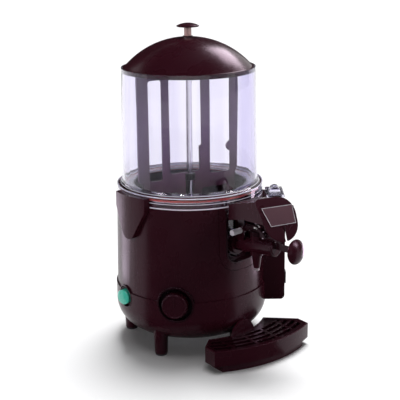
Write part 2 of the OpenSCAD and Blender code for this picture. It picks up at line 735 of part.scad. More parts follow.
module lid() color(cocoa) difference() {
    rotate_extrude() union() {
        intersection() {
            difference() {
                translate([0, dome_z]) circle(dome_r, $fn = 240);
                translate([0, dome_z]) circle(dome_r - lid_wall, $fn = 240);
            }
            translate([0, rim_z]) square([lid_edge_r, lid_rise + 5]);
        }
        translate([dome_edge_r - lid_wall - 1, rim_z + 0.6 - lid_wall])
            square([lid_edge_r - dome_edge_r + lid_wall + 1, lid_wall]);
        translate([lid_edge_r - lid_wall, rim_z - lid_skirt_h]) square([lid_wall, lid_skirt_h]);
    }
    disc(knob_screw_r, dome_top_z - 10, dome_top_z + 5);
}
module knob_base() color(cocoa_dark) rotate_extrude() difference() {
    translate([knob_screw_r, dome_top_z - 3]) square([base_disc_r - knob_screw_r, base_disc_h + 3]);
    translate([0, dome_z]) circle(dome_r, $fn = 240);
}
module knob_stem() color([0.55, 0.40, 0.38, 0.8]) difference() {
    disc(knob_stem_r, stem_z, cap_z);
    for (i = [0 : stem_flutes - 1]) at_azimuth(i * 360 / stem_flutes)
        translate([0, -knob_stem_r - 0.5, stem_z - cut]) cylinder(r = 1.2, h = knob_stem_h + 2 * cut);
    disc(knob_screw_r, stem_z - 5, cap_z + 5);
}
knob_crown_r = (knob_r * knob_r + (knob_cap_h - 2) * (knob_cap_h - 2)) / (2 * (knob_cap_h - 2));
module lid_knob() color(cocoa) difference() {
    rotate_extrude() union() {
        translate([0, cap_z]) square([knob_r - 1, 1.2]);
        translate([0, cap_z + 0.8]) square([knob_r, 1.3]);
        intersection() {
            translate([0, cap_z + knob_cap_h - knob_crown_r]) circle(knob_crown_r);
            translate([0, cap_z + 1.8]) square([knob_r, knob_cap_h]);
        }
    }
    disc(knob_screw_r, cap_z - cut, cap_z + 5);
}
module knob_screw() color(steel) {
    disc(knob_screw_r - fit, dome_top_z - lid_wall - 3, cap_z + 4.8);
    disc(6, dome_top_z - lid_wall - 3.2, dome_top_z - lid_wall - 0.2);
}

// ---- tap ----

socket_r = 18;
socket_l = 9;
lock_ring_l = 8;
boss_r = 11;
boss_top_z = tap_z + 27;
plunger_bore_r = plunger_r + fit;
seat_z = tap_z - 6;
ear_r = 7;
ear_x0 = 7.2;
ear_x1 = 10.2;
saddle_z = tap_z + 19.4;
cap_spigot_r = 9;
cap_spigot_l = 9;
nozzle_seat_z = seat_z - 5;

module at_plunger() translate([0, -plunger_y, 0]) children();

module tap_body() color(cocoa) difference() {
    union() {
        at_tap() translate([0, 0, -4]) cylinder(r1 = barrel_r_back, r2 = barrel_r_front, h = barrel_l + 4);
        at_tap() disc(socket_r, -socket_l, 5);
        at_plunger() disc(boss_r, nozzle_seat_z, boss_top_z);
        for (s = [-1, 1]) side_view(s > 0 ? ear_x0 : -ear_x1, s > 0 ? ear_x1 : -ear_x0) {
            translate([-pivot_y, pivot_z]) circle(ear_r);
            translate([-pivot_y - ear_r, tap_z + 4]) square([2 * ear_r, pivot_z - tap_z - 4]);
        }
        translate([-8, -tap_y - 10, tap_z + 4]) cube([16, 7, saddle_z - tap_z - 4]);
    }
    at_tap() disc(spout_r, -socket_l - cut, 0);
    at_tap() disc(barrel_bore_r, -cut, barrel_l + cut);
    at_tap() disc(cap_spigot_r, barrel_l - cap_spigot_l, barrel_l + cut);
    at_plunger() disc(plunger_bore_r, seat_z, boss_top_z + cut);
    at_plunger() disc(4.2, nozzle_seat_z - cut, seat_z + cut);
    side_view(-30, 30) translate([-pivot_y, pivot_z]) circle(pivot_r);
}
module tap_gasket() color([0.62, 0.14, 0.10]) at_tap() tube(spout_r, spout_bore_r, -1, 0);
module tap_lock_ring() color(cocoa_dark) at_tap() difference() {
    disc(lock_ring_r, -socket_l, -socket_l + lock_ring_l);
    disc(socket_r, -socket_l - cut, 10);
    for (i = [0 : 11]) rotate([0, 0, i * 30]) translate([lock_ring_r + 1, 0, -socket_l - cut])
        cylinder(r = 2, h = lock_ring_l + 2 * cut);
}
module tap_end_cap() color(cocoa_dark) at_tap() {
    disc(barrel_r_front, barrel_l, barrel_l + 4);
    disc(cap_spigot_r, barrel_l - cap_spigot_l, barrel_l + 0.5);
    disc(barrel_r_front - 2.5, barrel_l + 3.5, barrel_l + 5.5);
}
module nozzle() color(cocoa) at_plunger() difference() {
    translate([0, 0, nozzle_tip_z + 5]) cylinder(r1 = 5.4, r2 = 9, h = nozzle_seat_z - nozzle_tip_z - 5);
    disc(3.4, nozzle_tip_z - cut, nozzle_seat_z + cut);
}
module nozzle_tip() color(steel) at_plunger() tube(4.6, 3.4, nozzle_tip_z, nozzle_tip_z + 5);

plunger_l = 22.5;
rod_r = 3;
link_z = pivot_z + 9.5;
rod_top_z = link_z + 4;
link_r = 1.6;
link_half_l = 6.2;
ring_tube_r = 1;
ring_z = seat_z + 20;
spring_wire = 0.4;      // radius of the wire
spring_r = 5.6;
spring_turns = 4;
spring_z = seat_z + plunger_l;
bonnet_h = 7.5;
bonnet_r = boss_r + 0.8;
bonnet_z = boss_top_z - 2;

module tap_plunger() color("white") at_plunger() difference() {
    union() {
        translate([0, 0, seat_z + 0.1]) cylinder(r1 = plunger_r - 2, r2 = plunger_r, h = 2);
        disc(plunger_r, seat_z + 2, spring_z);
        disc(rod_r, spring_z - 1, rod_top_z);
        translate([-link_half_l, 0, link_z]) rotate([0, 90, 0]) cylinder(r = link_r, h = 2 * link_half_l);
    }
    rotate_extrude() translate([plunger_r - ring_tube_r + 0.02, ring_z]) circle(ring_tube_r);
}
module plunger_ring() color(rubber) at_plunger() rotate_extrude()
    translate([plunger_r - ring_tube_r + 0.02, ring_z]) circle(ring_tube_r);

// Coil spring swept along its own helix
spring_sides = 6;
spring_steps = spring_turns * 8;
spring_low = spring_z + spring_wire + 0.1;
spring_rise = bonnet_z + bonnet_h - 2.5 - spring_wire - 0.1 - spring_low;
function coil_point(i, j) = let (
    a = i * 45,
    b = j * 360 / spring_sides,
    r = spring_r + spring_wire * cos(b),
    z = spring_low + spring_rise * i / spring_steps + spring_wire * sin(b))
    [r * cos(a), r * sin(a), z];
// least gap between one turn of the spring and the next, measured on its points
function coil_gap(i, j, k) = norm(coil_point(i, j) - coil_point(i + 8, k));
echo(spring_gap = min([for (i = [0 : spring_steps - 8], j = [0 : spring_sides - 1], k = [0 : spring_sides - 1])
    coil_gap(i, j, k)]));
module tap_spring() color(steel) at_plunger() polyhedron(
    points = [for (i = [0 : spring_steps], j = [0 : spring_sides - 1]) coil_point(i, j)],
    faces = concat(
        [[for (j = [0 : spring_sides - 1]) j]],
        [for (i = [0 : spring_steps - 1], j = [0 : spring_sides - 1])
            let (k = (j + 1) % spring_sides, a = i * spring_sides, b = a + spring_sides) [a + j, b + j, b + k, a + k]],
        [[for (j = [spring_sides - 1 : -1 : 0]) spring_steps * spring_sides + j]]));

module tap_bonnet() color(cocoa_dark) at_plunger() difference() {
    disc(bonnet_r, bonnet_z, bonnet_z + bonnet_h);
    disc(boss_r, bonnet_z - cut, boss_top_z);
    disc(plunger_r, boss_top_z - cut, bonnet_z + bonnet_h - 2);
    disc(rod_r + 0.1, bonnet_z, bonnet_z + bonnet_h + cut);
    for (i = [0 : 11]) rotate([0, 0, i * 30]) translate([bonnet_r + 0.8, 0, bonnet_z - cut])
        cylinder(r = 1.5, h = bonnet_h + 2 * cut);
}

// The lever: two cheeks around the plunger's rod that join into one blade
cheek_x0 = 3.8;
cheek_x1 = 6.8;
blade_t = 3;
barrel_end = tap_y + (barrel_l + 5.5) * cos(tap_tilt);
barrel_end_z = tap_z + (barrel_l + 5.5) * sin(tap_tilt);
blade_front = lever_knob_y - 13.5;
blade_drop = barrel_end + 0.8;
blade_under_z = barrel_end_z + barrel_r_front * cos(tap_tilt) + 1.4;
web_back = plunger_y + 14;
web_front = plunger_y + 24;
lever_stem_z = barrel_end_z + (lever_knob_y - barrel_end) * tan(tap_tilt);

cheek_low_z = bonnet_z + bonnet_h + 0.6;
link_front = 4.7;   // how far the pin moves forward in its slot as the lever lifts
link_drop = 0.9;    // and how far down
link_lug_r = 5.3;
module cheek_outline() {
    translate([-pivot_y, pivot_z]) circle(ear_r);
    translate([-plunger_y - link_front / 2, link_z - link_drop / 2]) circle(link_lug_r);
    polygon([[-pivot_y - 1, pivot_z + ear_r], [-plunger_y - link_front / 2 + 0.5, link_z - link_drop / 2 + link_lug_r],
        [-plunger_y - link_front / 2 - 3, link_z + link_lug_r - 1.4], [-web_front, blade_under_z + 5],
        [-web_front, blade_under_z], [-web_back, blade_under_z], [-plunger_y - bonnet_r - 0.8, cheek_low_z],
        [-plunger_y + bonnet_r + 1, cheek_low_z], [-pivot_y + 1, pivot_z - ear_r + 1]]);
}
module blade_outline() polygon([
    [-web_back, blade_under_z], [-web_back, blade_under_z + 6], [-blade_drop + 8, blade_under_z + 4.4],
    [-blade_drop - 4, blade_under_z + 3], [-blade_drop - 12, lever_stem_z + 6],
    [-blade_front, lever_stem_z + 6], [-blade_front, lever_stem_z - 5], [-blade_drop, lever_stem_z - 5],
    [-blade_drop, blade_under_z]]);
module tap_lever() color(cocoa_dark) difference() {
    union() {
        for (s = [-1, 1]) side_view(s > 0 ? cheek_x0 : -cheek_x1, s > 0 ? cheek_x1 : -cheek_x0) cheek_outline();
        side_view(-cheek_x1, cheek_x1) translate([-web_front, blade_under_z]) square([web_front - web_back, 4.6]);
        side_view(-blade_t / 2, blade_t / 2) blade_outline();
    }
    side_view(-30, 30) translate([-pivot_y, pivot_z]) circle(pivot_r + fit);
    // slots that lift the plunger's cross pin
    side_view(-30, 30) round_rect(-plunger_y - link_front - link_r - gap, link_z - link_drop - link_r - gap,
        -plunger_y + link_r + gap, link_z + link_r + gap, link_r);
}
module lever_pin() color([0.75, 0.75, 0.76]) {
    side_view(-ear_x1 - 1, ear_x1 + 2) translate([-pivot_y, pivot_z]) circle(pivot_r);
    side_view(-ear_x1 - pin_grip_l - 1, -ear_x1 - 0.2) translate([-pivot_y, pivot_z]) circle(pivot_r + 2.2);
}
module at_lever_knob() translate([0, -lever_knob_y, lever_stem_z]) rotate([90 - tap_tilt, 0, 0]) children();
knob_front_r = (lever_knob_r * lever_knob_r + knob_dome * knob_dome) / (2 * knob_dome);
knob_back_d = 6;
knob_back_r = (lever_knob_r * lever_knob_r + knob_back_d * knob_back_d) / (2 * knob_back_d);
module lever_knob() color(cocoa) at_lever_knob() {
    rotate_extrude() intersection() {
        translate([0, knob_dome - knob_front_r]) circle(knob_front_r, $fn = 180);
        translate([0, -knob_back_d + knob_back_r]) circle(knob_back_r, $fn = 180);
        translate([0, -20]) square([lever_knob_r - 0.6, 40]);
    }
    disc(4.5, -13.4, 2);
}

// ---- tap cover ----

hood_back = flange_r + 2;
hood_half_w = 37;
hood_low_z = 256;
hood_low_front_z = 263;
hood_low_run = 34;      // how far the walls' lower edge rises from the back
hood_edge_z = 281;      // where the roof meets the right wall
hood_ridge_x = -8;
hood_cut_az = 30;       // the right wall turns in towards the shield's edge
hood_cut_back = 22.5;
roof_back_z = shoulder_z + 8;
roof_slope = 0.26;
shield_foot_z = 250;
shield_x = -3.5;
shield_corner_x = -34.5;
shield_drop = 12;       // height between the shield's two round shoulders
slot_top_z = 256;
foot_rib_half_w = 8;
rib_top_z = shoulder_z - 1;

// local +Z points out of the shield, local +Y up along it
module at_shield() translate([0, -shield_y, shield_foot_z]) rotate([0, 0, -shield_turn])
    rotate([90 - shield_lean, 0, 0]) children();
module behind_shield(depth) at_shield() translate([-120, -120, -220 - depth]) cube([240, 240, 220]);

// the direction in which the straight edge beside two circles touches both
function touch_angle(p, a, q, b, side) = atan2(q[1] - p[1], q[0] - p[0]) + side * acos((a - b) / norm(q - p));
function arc_points(p, r, from, to, steps) = [for (i = [0 : steps])
    p + r * [cos(from + (to - from) * i / steps), sin(from + (to - from) * i / steps)]];
// the shield's outline, seen from the front
module shield_front() {
    upper = [shield_x, cover_top_z - shield_r];
    lower = upper - [0, shield_drop];
    corner = [shield_corner_x, cover_top_z - shield_corner_r];
    top = touch_angle(upper, shield_r, corner, shield_corner_r, -1);
    left = touch_angle(lower, shield_r, corner, shield_corner_r, 1);
    polygon(concat(arc_points(upper, shield_r, 0, top, 12), arc_points(corner, shield_corner_r, top, left, 9),
        arc_points(lower, shield_r, left, 360, 20)));
}
// the hood behind the shield: its outline from the front, from the side and from above
module hood_front(inset) {
    w = hood_half_w - inset;
    fall = (cover_top_z - hood_edge_z) / (hood_half_w - hood_ridge_x);
    drop = inset * sqrt(1 + fall * fall);
    polygon([[-w, pivot_z - 20], [w, pivot_z - 20], [w, hood_edge_z + fall * inset - drop],
        [hood_ridge_x - 10, cover_top_z + 10 * fall - drop], [-w, cover_top_z + 10 * fall - drop]]);
}
function roof_at(y) = roof_back_z + roof_slope * (y - hood_back);
module hood_side(inset, back) polygon([[-back, inset > 0 ? pivot_z - 20 : hood_low_z],
    [-hood_back - hood_low_run, inset > 0 ? pivot_z - 20 : hood_low_front_z],
    [-shield_y - 40, inset > 0 ? pivot_z - 20 : hood_low_front_z],
    [-shield_y - 40, roof_at(shield_y + 40) - inset], [-back, roof_at(back) - inset]]);
module hood_above(inset) translate([hood_half_w, hood_cut_back - shield_y, pivot_z - 30]) rotate(-hood_cut_az)
    translate([-200 - inset, -100, 0]) cube([200, 200, 120]);

module tap_cover() color(cocoa) difference() {
    union() {
        difference() {
            intersection() {
                front_view(hood_back, shield_y + 40) shield_front();
                behind_shield(0);
            }
            behind_shield(cover_wall);
        }
        difference() {
            intersection() {
                front_view(hood_back, shield_y + 40) hood_front(0);
                side_view(-60, 60) hood_side(0, hood_back);
                hood_above(0);
                behind_shield(0.5);
            }
            intersection() {
                front_view(hood_back - 30, shield_y + 50) hood_front(cover_wall);
                side_view(-70, 70) hood_side(cover_wall, hood_back - 30);
                hood_above(cover_wall);
                behind_shield(cover_wall);
            }
        }
        // rib that carries the cover on the tap, and the web that joins it to the roof
        translate([-foot_rib_half_w, -tap_y - 10, saddle_z]) cube([2 * foot_rib_half_w, 6, rib_top_z - saddle_z]);
        side_view(-3, 3) {
            translate([-hood_back - 1, rib_top_z - 12]) square([hood_back - tap_y - 4, 12]);
            intersection() {
                hood_side(0, hood_back);
                translate([-hood_back - 16, rib_top_z - 12]) square([16, 60]);
            }
        }
    }
    // the lever's slot
    front_view(shield_y - 20, shield_y + 20) translate([-slot_w / 2, slot_top_z - 60]) square([slot_w, 60]);
}
badge_t = 1.2;
module badge_outline() polygon([[-40, 42], [20, 41], [23, 9], [-26, 9]]);
module badge_plate() color([0.36, 0.22, 0.19]) at_shield() linear_extrude(badge_t) badge_outline();

// ---- controls ----

bezel_floor = lower_r - 14;
dial_front = lower_r + 9;
dial_shaft_r = 3;
module dial_bezel() color(cocoa_dark) at_azimuth(dial_az) difference() {
    intersection() {
        radial_bar(dial_bezel_r, bezel_floor - casing_wall, lower_r + 10, dial_z);
        rotate([0, 0, -dial_az]) disc(lower_r + 0.6, dial_z - 2 * dial_bezel_r, dial_z + 2 * dial_bezel_r);
    }
    radial_bar(dial_bezel_r - casing_wall, bezel_floor, lower_r + 20, dial_z);
    radial_bar(dial_shaft_r + 0.5, bezel_floor - 20, lower_r, dial_z);
}
module dial_knob() color(cocoa) at_azimuth(dial_az) difference() {
    union() {
        radial_bar(dial_r, bezel_floor + 1.5, dial_front - 1.2, dial_z);
        radial_bar(dial_r - 1.2, bezel_floor + 10, dial_front, dial_z);
        radial_bar(dial_shaft_r, bezel_floor - casing_wall - 5, bezel_floor + 2, dial_z);
    }
    difference() {
        radial_bar(dial_r - 3, dial_front - 1, dial_front + 5, dial_z);
        translate([-1.4, -dial_front - 10, dial_z - 2]) cube([2.8, 20, dial_r - 5]);
    }
}
module thermostat() color("gray") at_azimuth(dial_az) difference() {
    union() {
        translate([-17, -bezel_floor + casing_wall, dial_z - 17]) cube([34, 20, 34]);
        translate([-9, -bezel_floor + casing_wall + 19, dial_z - 12]) cube([18, 9, 24]);
    }
    radial_bar(dial_shaft_r + fit, bezel_floor - casing_wall - 6, bezel_floor, dial_z);
}
cup_floor = -8;
module switch_cup() color(cocoa_dark) difference() {
    intersection() {
        at_switch() radial_bar(switch_cup_r, cup_floor - casing_wall, 2 * switch_cup_r, switch_z);
        disc(lower_r + 0.6, switch_z - 2 * switch_cup_r, switch_z + 2 * switch_cup_r);
    }
    at_switch() radial_bar(switch_cup_r - 2, cup_floor, 3 * switch_cup_r, switch_z);
    at_switch() radial_bar(button_r + 2.4, cup_floor - 20, 20, switch_z);
}
module switch_body() color(rubber) at_switch() difference() {
    union() {
        radial_bar(button_r + 2.4, cup_floor - 26, cup_floor, switch_z);
        radial_bar(button_r + 4.2, cup_floor, cup_floor + 4, switch_z);
    }
    radial_bar(button_r + 0.25, cup_floor - 14, cup_floor + 10, switch_z);
}
button_travel = 3;
button_proud = 5;
button_crown_r = 34;
module green_button() color([0.25, 0.75, 0.60]) at_switch()
    translate([0, -cup_floor - button_travel - 1, switch_z]) rotate([90, 0, 0]) rotate_extrude() intersection() {
        square([button_r, 4 + button_travel + button_proud + 3]);
        translate([0, 4 + button_travel + button_proud + 3 - button_crown_r]) circle(button_crown_r);
    }
module terminal_block() color("ivory") for (i = [0 : 3])
    translate([-72 + i * 8, 18, plate_z + plate_t]) difference() {
        cube([7.6, 24, 16]);
        translate([3.8, 6, 8]) cylinder(r = 2.2, h = 10);
        translate([3.8, 18, 8]) cylinder(r = 2.2, h = 10);
    }

// ---- side housing ----

side_corner = 8;
filler_hole = [20, 13];     // half length and half width of the filler opening
filler_mid = side_reach - casing_wall - filler_hole[1] - 1.5;
drain_z = side_floor_z + 33;

module side_box_outline(inset) {
    x0 = -side_reach + inset;
    round_rect(x0, side_floor_z + inset, x0 + 60, side_top_z - inset, side_corner - inset);
}
// the space that both casings take, for pieces that stand against them
module casing_envelope() rotate_extrude() union() {
    difference() {
        translate([0, body_clear]) square([lower_r, lower_h]);
        difference() {
            translate([lower_r - lower_corner_r, body_clear - cut])
                square([lower_corner_r + cut, lower_corner_r + cut]);
            translate([lower_r - lower_corner_r, body_clear + lower_corner_r]) circle(lower_corner_r);
        }
    }
    polygon([[0, seam_z - cut], [upper_r_low, seam_z - cut], [upper_r_low, seam_z],
        [upper_r_top, shoulder_z], [upper_r_top, shoulder_z + cut], [0, shoulder_z + cut]]);
}
module side_housing() color(cocoa) at_azimuth(side_az) difference() {
    side_view(-side_half_w, side_half_w) side_box_outline(0);
    side_view(-side_inner_half_w, side_inner_half_w) side_box_outline(casing_wall);
    casing_envelope();
    translate([-filler_hole[0], -filler_mid - filler_hole[1], side_top_z - 10])
        cube([2 * filler_hole[0], 2 * filler_hole[1], 20]);
    radial_bar(5, side_reach - 10, side_reach + 5, drain_z);
}
cap_half_l = side_half_w - 3;
module filler_cap() color(clear_tint) at_azimuth(side_az) translate([0, -filler_mid, side_top_z + seat]) difference() {
    union() {
        side_view(-cap_half_l, cap_half_l) round_rect(-filler_hole[1] - 3.4, 0, filler_hole[1] + 3.4, 6, 2.5);
        side_view(-10, 10) intersection() {
            translate([0, 6]) circle(10);
            translate([-12, 3]) square([24, 20]);
        }
        translate([-filler_hole[0] + gap, -filler_hole[1] + gap, -7])
            cube([2 * (filler_hole[0] - gap), 2 * (filler_hole[1] - gap), 8]);
    }
    translate([-filler_hole[0] + 2, -filler_hole[1] + 2, -8])
        cube([2 * (filler_hole[0] - 2), 2 * (filler_hole[1] - 2), 11]);
}
module filler_tube() color("white") at_azimuth(side_az) difference() {
    union() {
        radial_bar(filler_tube_r, bath_r - 8, upper_r_top + 9, filler_z);
        radial_bar(filler_tube_r + 3, bath_r + 0.5, bath_r + 4, filler_z);
    }
    radial_bar(filler_tube_r - 1.5, bath_r - 20, upper_r_top + 20, filler_z);
}
module drain_plug() color(rubber) at_azimuth(side_az) {
    radial_bar(4.7, side_reach - casing_wall - 2, side_reach + 1, drain_z);
    translate([-8, -side_reach - 4.5, drain_z - 11]) cube([16, 4.2, 22]);
}

// ---- drip tray ----

tray_back_r = lower_r - 2;
tray_arc_y = tray_front - tray_arc_r;
tray_mid_y = tray_front - 33;     // the point that the tray is turned about
tray_mid_x = 3;
tray_tip_y = tray_mid_y - 21;
tray_back_y = tray_mid_y - 66;
tray_back_half_w = 58;
tray_foot_inset = 4;
tray_tip_inset = 11;     // how much further the tips are undercut
tab_x = -8;
tray_step_z = 13;
tab_t = 3.8;
tab_half_w = 28;
tab_corner_drop = body_clear + lower_corner_r - tray_tab_z;
tab_back = lower_r - lower_corner_r + sqrt(pow(lower_corner_r, 2) - pow(tab_corner_drop, 2)) + gap;
grille_t = 4;
grille_z = tray_h - grille_t - 1;
slot_rows = 4;
slot_row_w = 8;
slot_row_pitch = 13;
slot_cols = 5;
rib_w = 5;
rib_pitch = 44;

module at_tray() translate([tray_mid_x, -tray_mid_y]) rotate(-tray_turn) translate([0, tray_mid_y]) children();
module tray_outline(inset, tip = 0) difference() {
    at_tray() intersection() {
        translate([0, -tray_arc_y]) circle(tray_arc_r - inset, $fn = 240);
        polygon([[-tray_back_half_w + inset, -tray_back_y + 20], [tray_back_half_w - inset, -tray_back_y + 20],
            [tray_back_half_w - inset, -tray_back_y], [tray_half_w - inset - tip, -tray_tip_y],
            [tray_half_w - inset - tip, -2 * tray_front], [-tray_half_w + inset + tip, -2 * tray_front],
            [-tray_half_w + inset + tip, -tray_tip_y], [-tray_back_half_w + inset, -tray_back_y]]);
    }
    circle(tray_back_r + inset, $fn = 240);
}
module drip_tray() color(cocoa) difference() {
    union() {
        linear_extrude(tray_step_z) tray_outline(tray_foot_inset, tray_tip_inset);
        translate([0, 0, tray_step_z - 0.5]) linear_extrude(tray_h - tray_step_z + 0.5) tray_outline(0);
        front_view(tab_back, tab_back + tab_t) difference() {
            translate([tab_x, tray_tab_z - tab_half_w]) circle(tab_half_w);
            translate([tab_x - 2 * tab_half_w, -tray_h]) square([4 * tab_half_w, 2 * tray_h - 8]);
        }
    }
    translate([0, 0, tray_wall]) linear_extrude(grille_z) tray_outline(tray_wall + tray_foot_inset, tray_tip_inset);
    translate([0, 0, tray_step_z + tray_wall]) linear_extrude(grille_z - tray_step_z)
        tray_outline(tray_wall + tray_foot_inset);
    translate([0, 0, grille_z]) linear_extrude(tray_h) difference() {
        tray_outline(tray_wall);
        translate([tab_x - tab_half_w, -tab_back - tab_t]) square([2 * tab_half_w, tab_t + 5]);
    }
}
module drip_grille() color(cocoa_dark) translate([0, 0, grille_z + seat]) linear_extrude(grille_t) difference() {
    tray_outline(tray_wall + gap);
    translate([tab_x - tab_half_w - gap, -tab_back - tab_t - gap]) square([2 * (tab_half_w + gap), tab_t + 5 + gap]);
    intersection() {
        tray_outline(tray_wall + 7);
        at_tray() difference() {
            for (i = [0 : slot_rows - 1]) translate([0, -tray_arc_y]) difference() {
                circle(tray_arc_r - 12 - i * slot_row_pitch, $fn = 240);
                circle(tray_arc_r - 12 - slot_row_w - i * slot_row_pitch, $fn = 240);
            }
            for (i = [-1.5 : slot_cols - 3.5]) translate([i * rib_pitch - rib_w / 2, -2 * tray_front])
                square([rib_w, 2 * tray_front]);
        }
    }
}

on_axis() lower_casing();
on_axis() upper_casing();
on_axis() tap_bay_liner();
on_axis() left_handle();
on_axis() right_handle();
on_axis() base_plate();
on_axis() base_screws();
on_axis() foot_pads();
on_axis() cord_gland();
on_axis() water_bath();
on_axis() heating_element();
on_axis() heater_nuts();
on_axis() bowl();
on_axis() bowl_seal();
on_axis() column();
on_axis() column_nut();
on_axis() column_bush();
on_axis() drive_shaft();
on_axis() drive_gear();
on_axis() motor_pinion();
on_axis() gearbox_housing();
on_axis() gearbox_cover();
on_axis() gearbox_posts();
on_axis() motor();
on_axis() paddle();
on_axis() paddle_collar();
on_axis() paddle_cap();
on_axis() lid();
on_axis() lid_knob();
on_axis() knob_stem();
on_axis() knob_base();
on_axis() knob_screw();
on_axis() tap_body();
on_axis() tap_gasket();
on_axis() tap_lock_ring();
on_axis() tap_end_cap();
on_axis() nozzle();
on_axis() nozzle_tip();
on_axis() tap_plunger();
on_axis() plunger_ring();
on_axis() tap_spring();
on_axis() tap_bonnet();
on_axis() tap_lever();
on_axis() lever_pin();
on_axis() lever_knob();
on_axis() tap_cover();
on_axis() badge_plate();
on_axis() dial_bezel();
on_axis() dial_knob();
on_axis() thermostat();
on_axis() switch_cup();
on_axis() switch_body();
on_axis() green_button();
on_axis() terminal_block();
on_axis() side_housing();
on_axis() filler_cap();
on_axis() filler_tube();
on_axis() drain_plug();
on_axis() drip_tray();
on_axis() drip_grille();
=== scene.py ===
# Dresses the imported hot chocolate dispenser: rounded edges, moulded detail and finishes,
# with a pale studio around it. Metres, +Z up, the tap points along -Y.
import math

import bmesh
import bpy
from mathutils import Matrix, Vector
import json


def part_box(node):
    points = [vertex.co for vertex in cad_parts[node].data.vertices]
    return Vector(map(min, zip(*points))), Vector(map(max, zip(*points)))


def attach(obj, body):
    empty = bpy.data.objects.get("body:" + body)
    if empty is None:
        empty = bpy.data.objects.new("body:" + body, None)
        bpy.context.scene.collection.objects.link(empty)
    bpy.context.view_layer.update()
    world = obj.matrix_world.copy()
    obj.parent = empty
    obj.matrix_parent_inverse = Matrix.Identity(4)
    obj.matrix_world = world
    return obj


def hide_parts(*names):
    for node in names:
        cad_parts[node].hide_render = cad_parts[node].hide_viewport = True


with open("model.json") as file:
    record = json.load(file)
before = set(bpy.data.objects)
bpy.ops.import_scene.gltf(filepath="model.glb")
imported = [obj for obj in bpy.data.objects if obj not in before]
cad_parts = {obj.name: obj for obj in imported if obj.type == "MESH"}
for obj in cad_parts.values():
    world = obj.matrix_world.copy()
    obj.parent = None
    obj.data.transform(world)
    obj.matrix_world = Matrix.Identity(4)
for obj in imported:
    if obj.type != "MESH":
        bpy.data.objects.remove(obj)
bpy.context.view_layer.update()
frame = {"nodes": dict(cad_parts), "record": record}
nodes = frame["nodes"]
members = frame["record"]["behaviour"]["bodies"]
bodyOf = {node: body for body, names in members.items() for node in names}
slotOf = {part["node"]: part["material_slot"] for part in frame["record"]["subparts"]}
mm = 0.001
sky = Vector((0, 0, 1))


def middle(node):
    low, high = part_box(node)
    return (Vector(low) + Vector(high)) / 2


axis = middle("column")   # where the machine's upright axis meets the floor
axis.z = 0
print("frame loaded", len(nodes))


def addObject(name, data):
    made = bpy.data.objects.new(name, data)
    bpy.context.collection.objects.link(made)
    return made


def meshFrom(form, name):
    mesh = bpy.data.meshes.new(name)
    form.to_mesh(mesh)
    form.free()
    return mesh


shot = {"distance": 1.7656, "height": 0.7522,   # metres, from the axis and over the floor
        "azimuth": -43.5, "pitch": 15.64,       # degrees, around from the tap and down from level
        "yaw": 0.0102, "roll": 0.0118,          # radians, off the axis and around the view
        "lens": 90.0, "sensor": 36.0}           # millimetres


def makeCamera():
    data = bpy.data.cameras.new("photoCamera")
    data.lens = shot["lens"]
    data.sensor_width = shot["sensor"]
    camera = addObject("photoCamera", data)
    azimuth = math.radians(shot["azimuth"])
    pitch = math.radians(shot["pitch"])
    outward = Vector((math.sin(azimuth), -math.cos(azimuth), 0))
    sideways = (-outward).cross(sky).normalized()
    look = -outward * math.cos(shot["yaw"]) + sideways * math.sin(shot["yaw"])
    right = look.cross(sky).normalized()
    look = (look * math.cos(pitch) - sky * math.sin(pitch)).normalized()
    up = right.cross(look).normalized()
    turnedRight = right * math.cos(shot["roll"]) - up * math.sin(shot["roll"])
    turnedUp = right * math.sin(shot["roll"]) + up * math.cos(shot["roll"])
    turn = Matrix((turnedRight, turnedUp, -look)).transposed().to_4x4()
    place = axis + outward * shot["distance"] + sky * shot["height"]
    camera.matrix_world = Matrix.Translation(place) @ turn
    bpy.context.scene.camera = camera


makeCamera()
print("camera set")


def fill(tree, node, values):
    # links the outputs among the values to the node's inputs and writes the rest there
    for label, value in values.items():
        if isinstance(value, bpy.types.NodeSocket):
            tree.links.new(value, node.inputs[label])
        else:
            node.inputs[label].default_value = value


def addNode(tree, kind, values):
    node = tree.nodes.new("ShaderNode" + kind)
    fill(tree, node, values)
    return node


def addNoise(tree, vector, scale, detail, roughness):
    values = {"Vector": vector, "Scale": scale, "Detail": detail, "Roughness": roughness}
    return addNode(tree, "TexNoise", values).outputs["Fac"]


def addRamp(tree, value, low, high, toLow=0.0, toHigh=1.0):
    values = {"Value": value, "From Min": low, "From Max": high, "To Min": toLow, "To Max": toHigh}
    return addNode(tree, "MapRange", values).outputs["Result"]


def addMath(tree, kind, a, b):
    step = addNode(tree, "Math", {0: a, 1: b})
    step.operation = kind
    return step.outputs["Value"]


def addStretch(tree, vector, scale, rotation=(0.0, 0.0, 0.0)):
    values = {"Vector": vector, "Scale": scale, "Rotation": rotation}
    return addNode(tree, "Mapping", values).outputs["Vector"]


def addMix(tree, factor, a, b):
    mix = tree.nodes.new("ShaderNodeMix")
    mix.data_type = "RGBA"
    first, second = [i for i, socket in enumerate(mix.inputs) if socket.type == "RGBA"]
    fill(tree, mix, {"Factor": factor, first: a, second: b})
    return [socket for socket in mix.outputs if socket.type == "RGBA"][0]


def newGroup(name, inputs, outputs):
    # a group that takes a Vector and the named inputs, which are given with their defaults
    group = bpy.data.node_groups.new(name, "ShaderNodeTree")
    group.interface.new_socket(name="Vector", in_out="INPUT", socket_type="NodeSocketVector")
    kinds = {1: "NodeSocketFloat", 3: "NodeSocketVector", 4: "NodeSocketColor"}
    for label, value in inputs.items():
        kind = kinds[len(value) if isinstance(value, tuple) else 1]
        group.interface.new_socket(name=label, in_out="INPUT", socket_type=kind).default_value = value
    for label, kind in outputs.items():
        group.interface.new_socket(name=label, in_out="OUTPUT", socket_type="NodeSocket" + kind)
    start = group.nodes.new("NodeGroupInput")
    end = group.nodes.new("NodeGroupOutput")
    return group, start.outputs, end


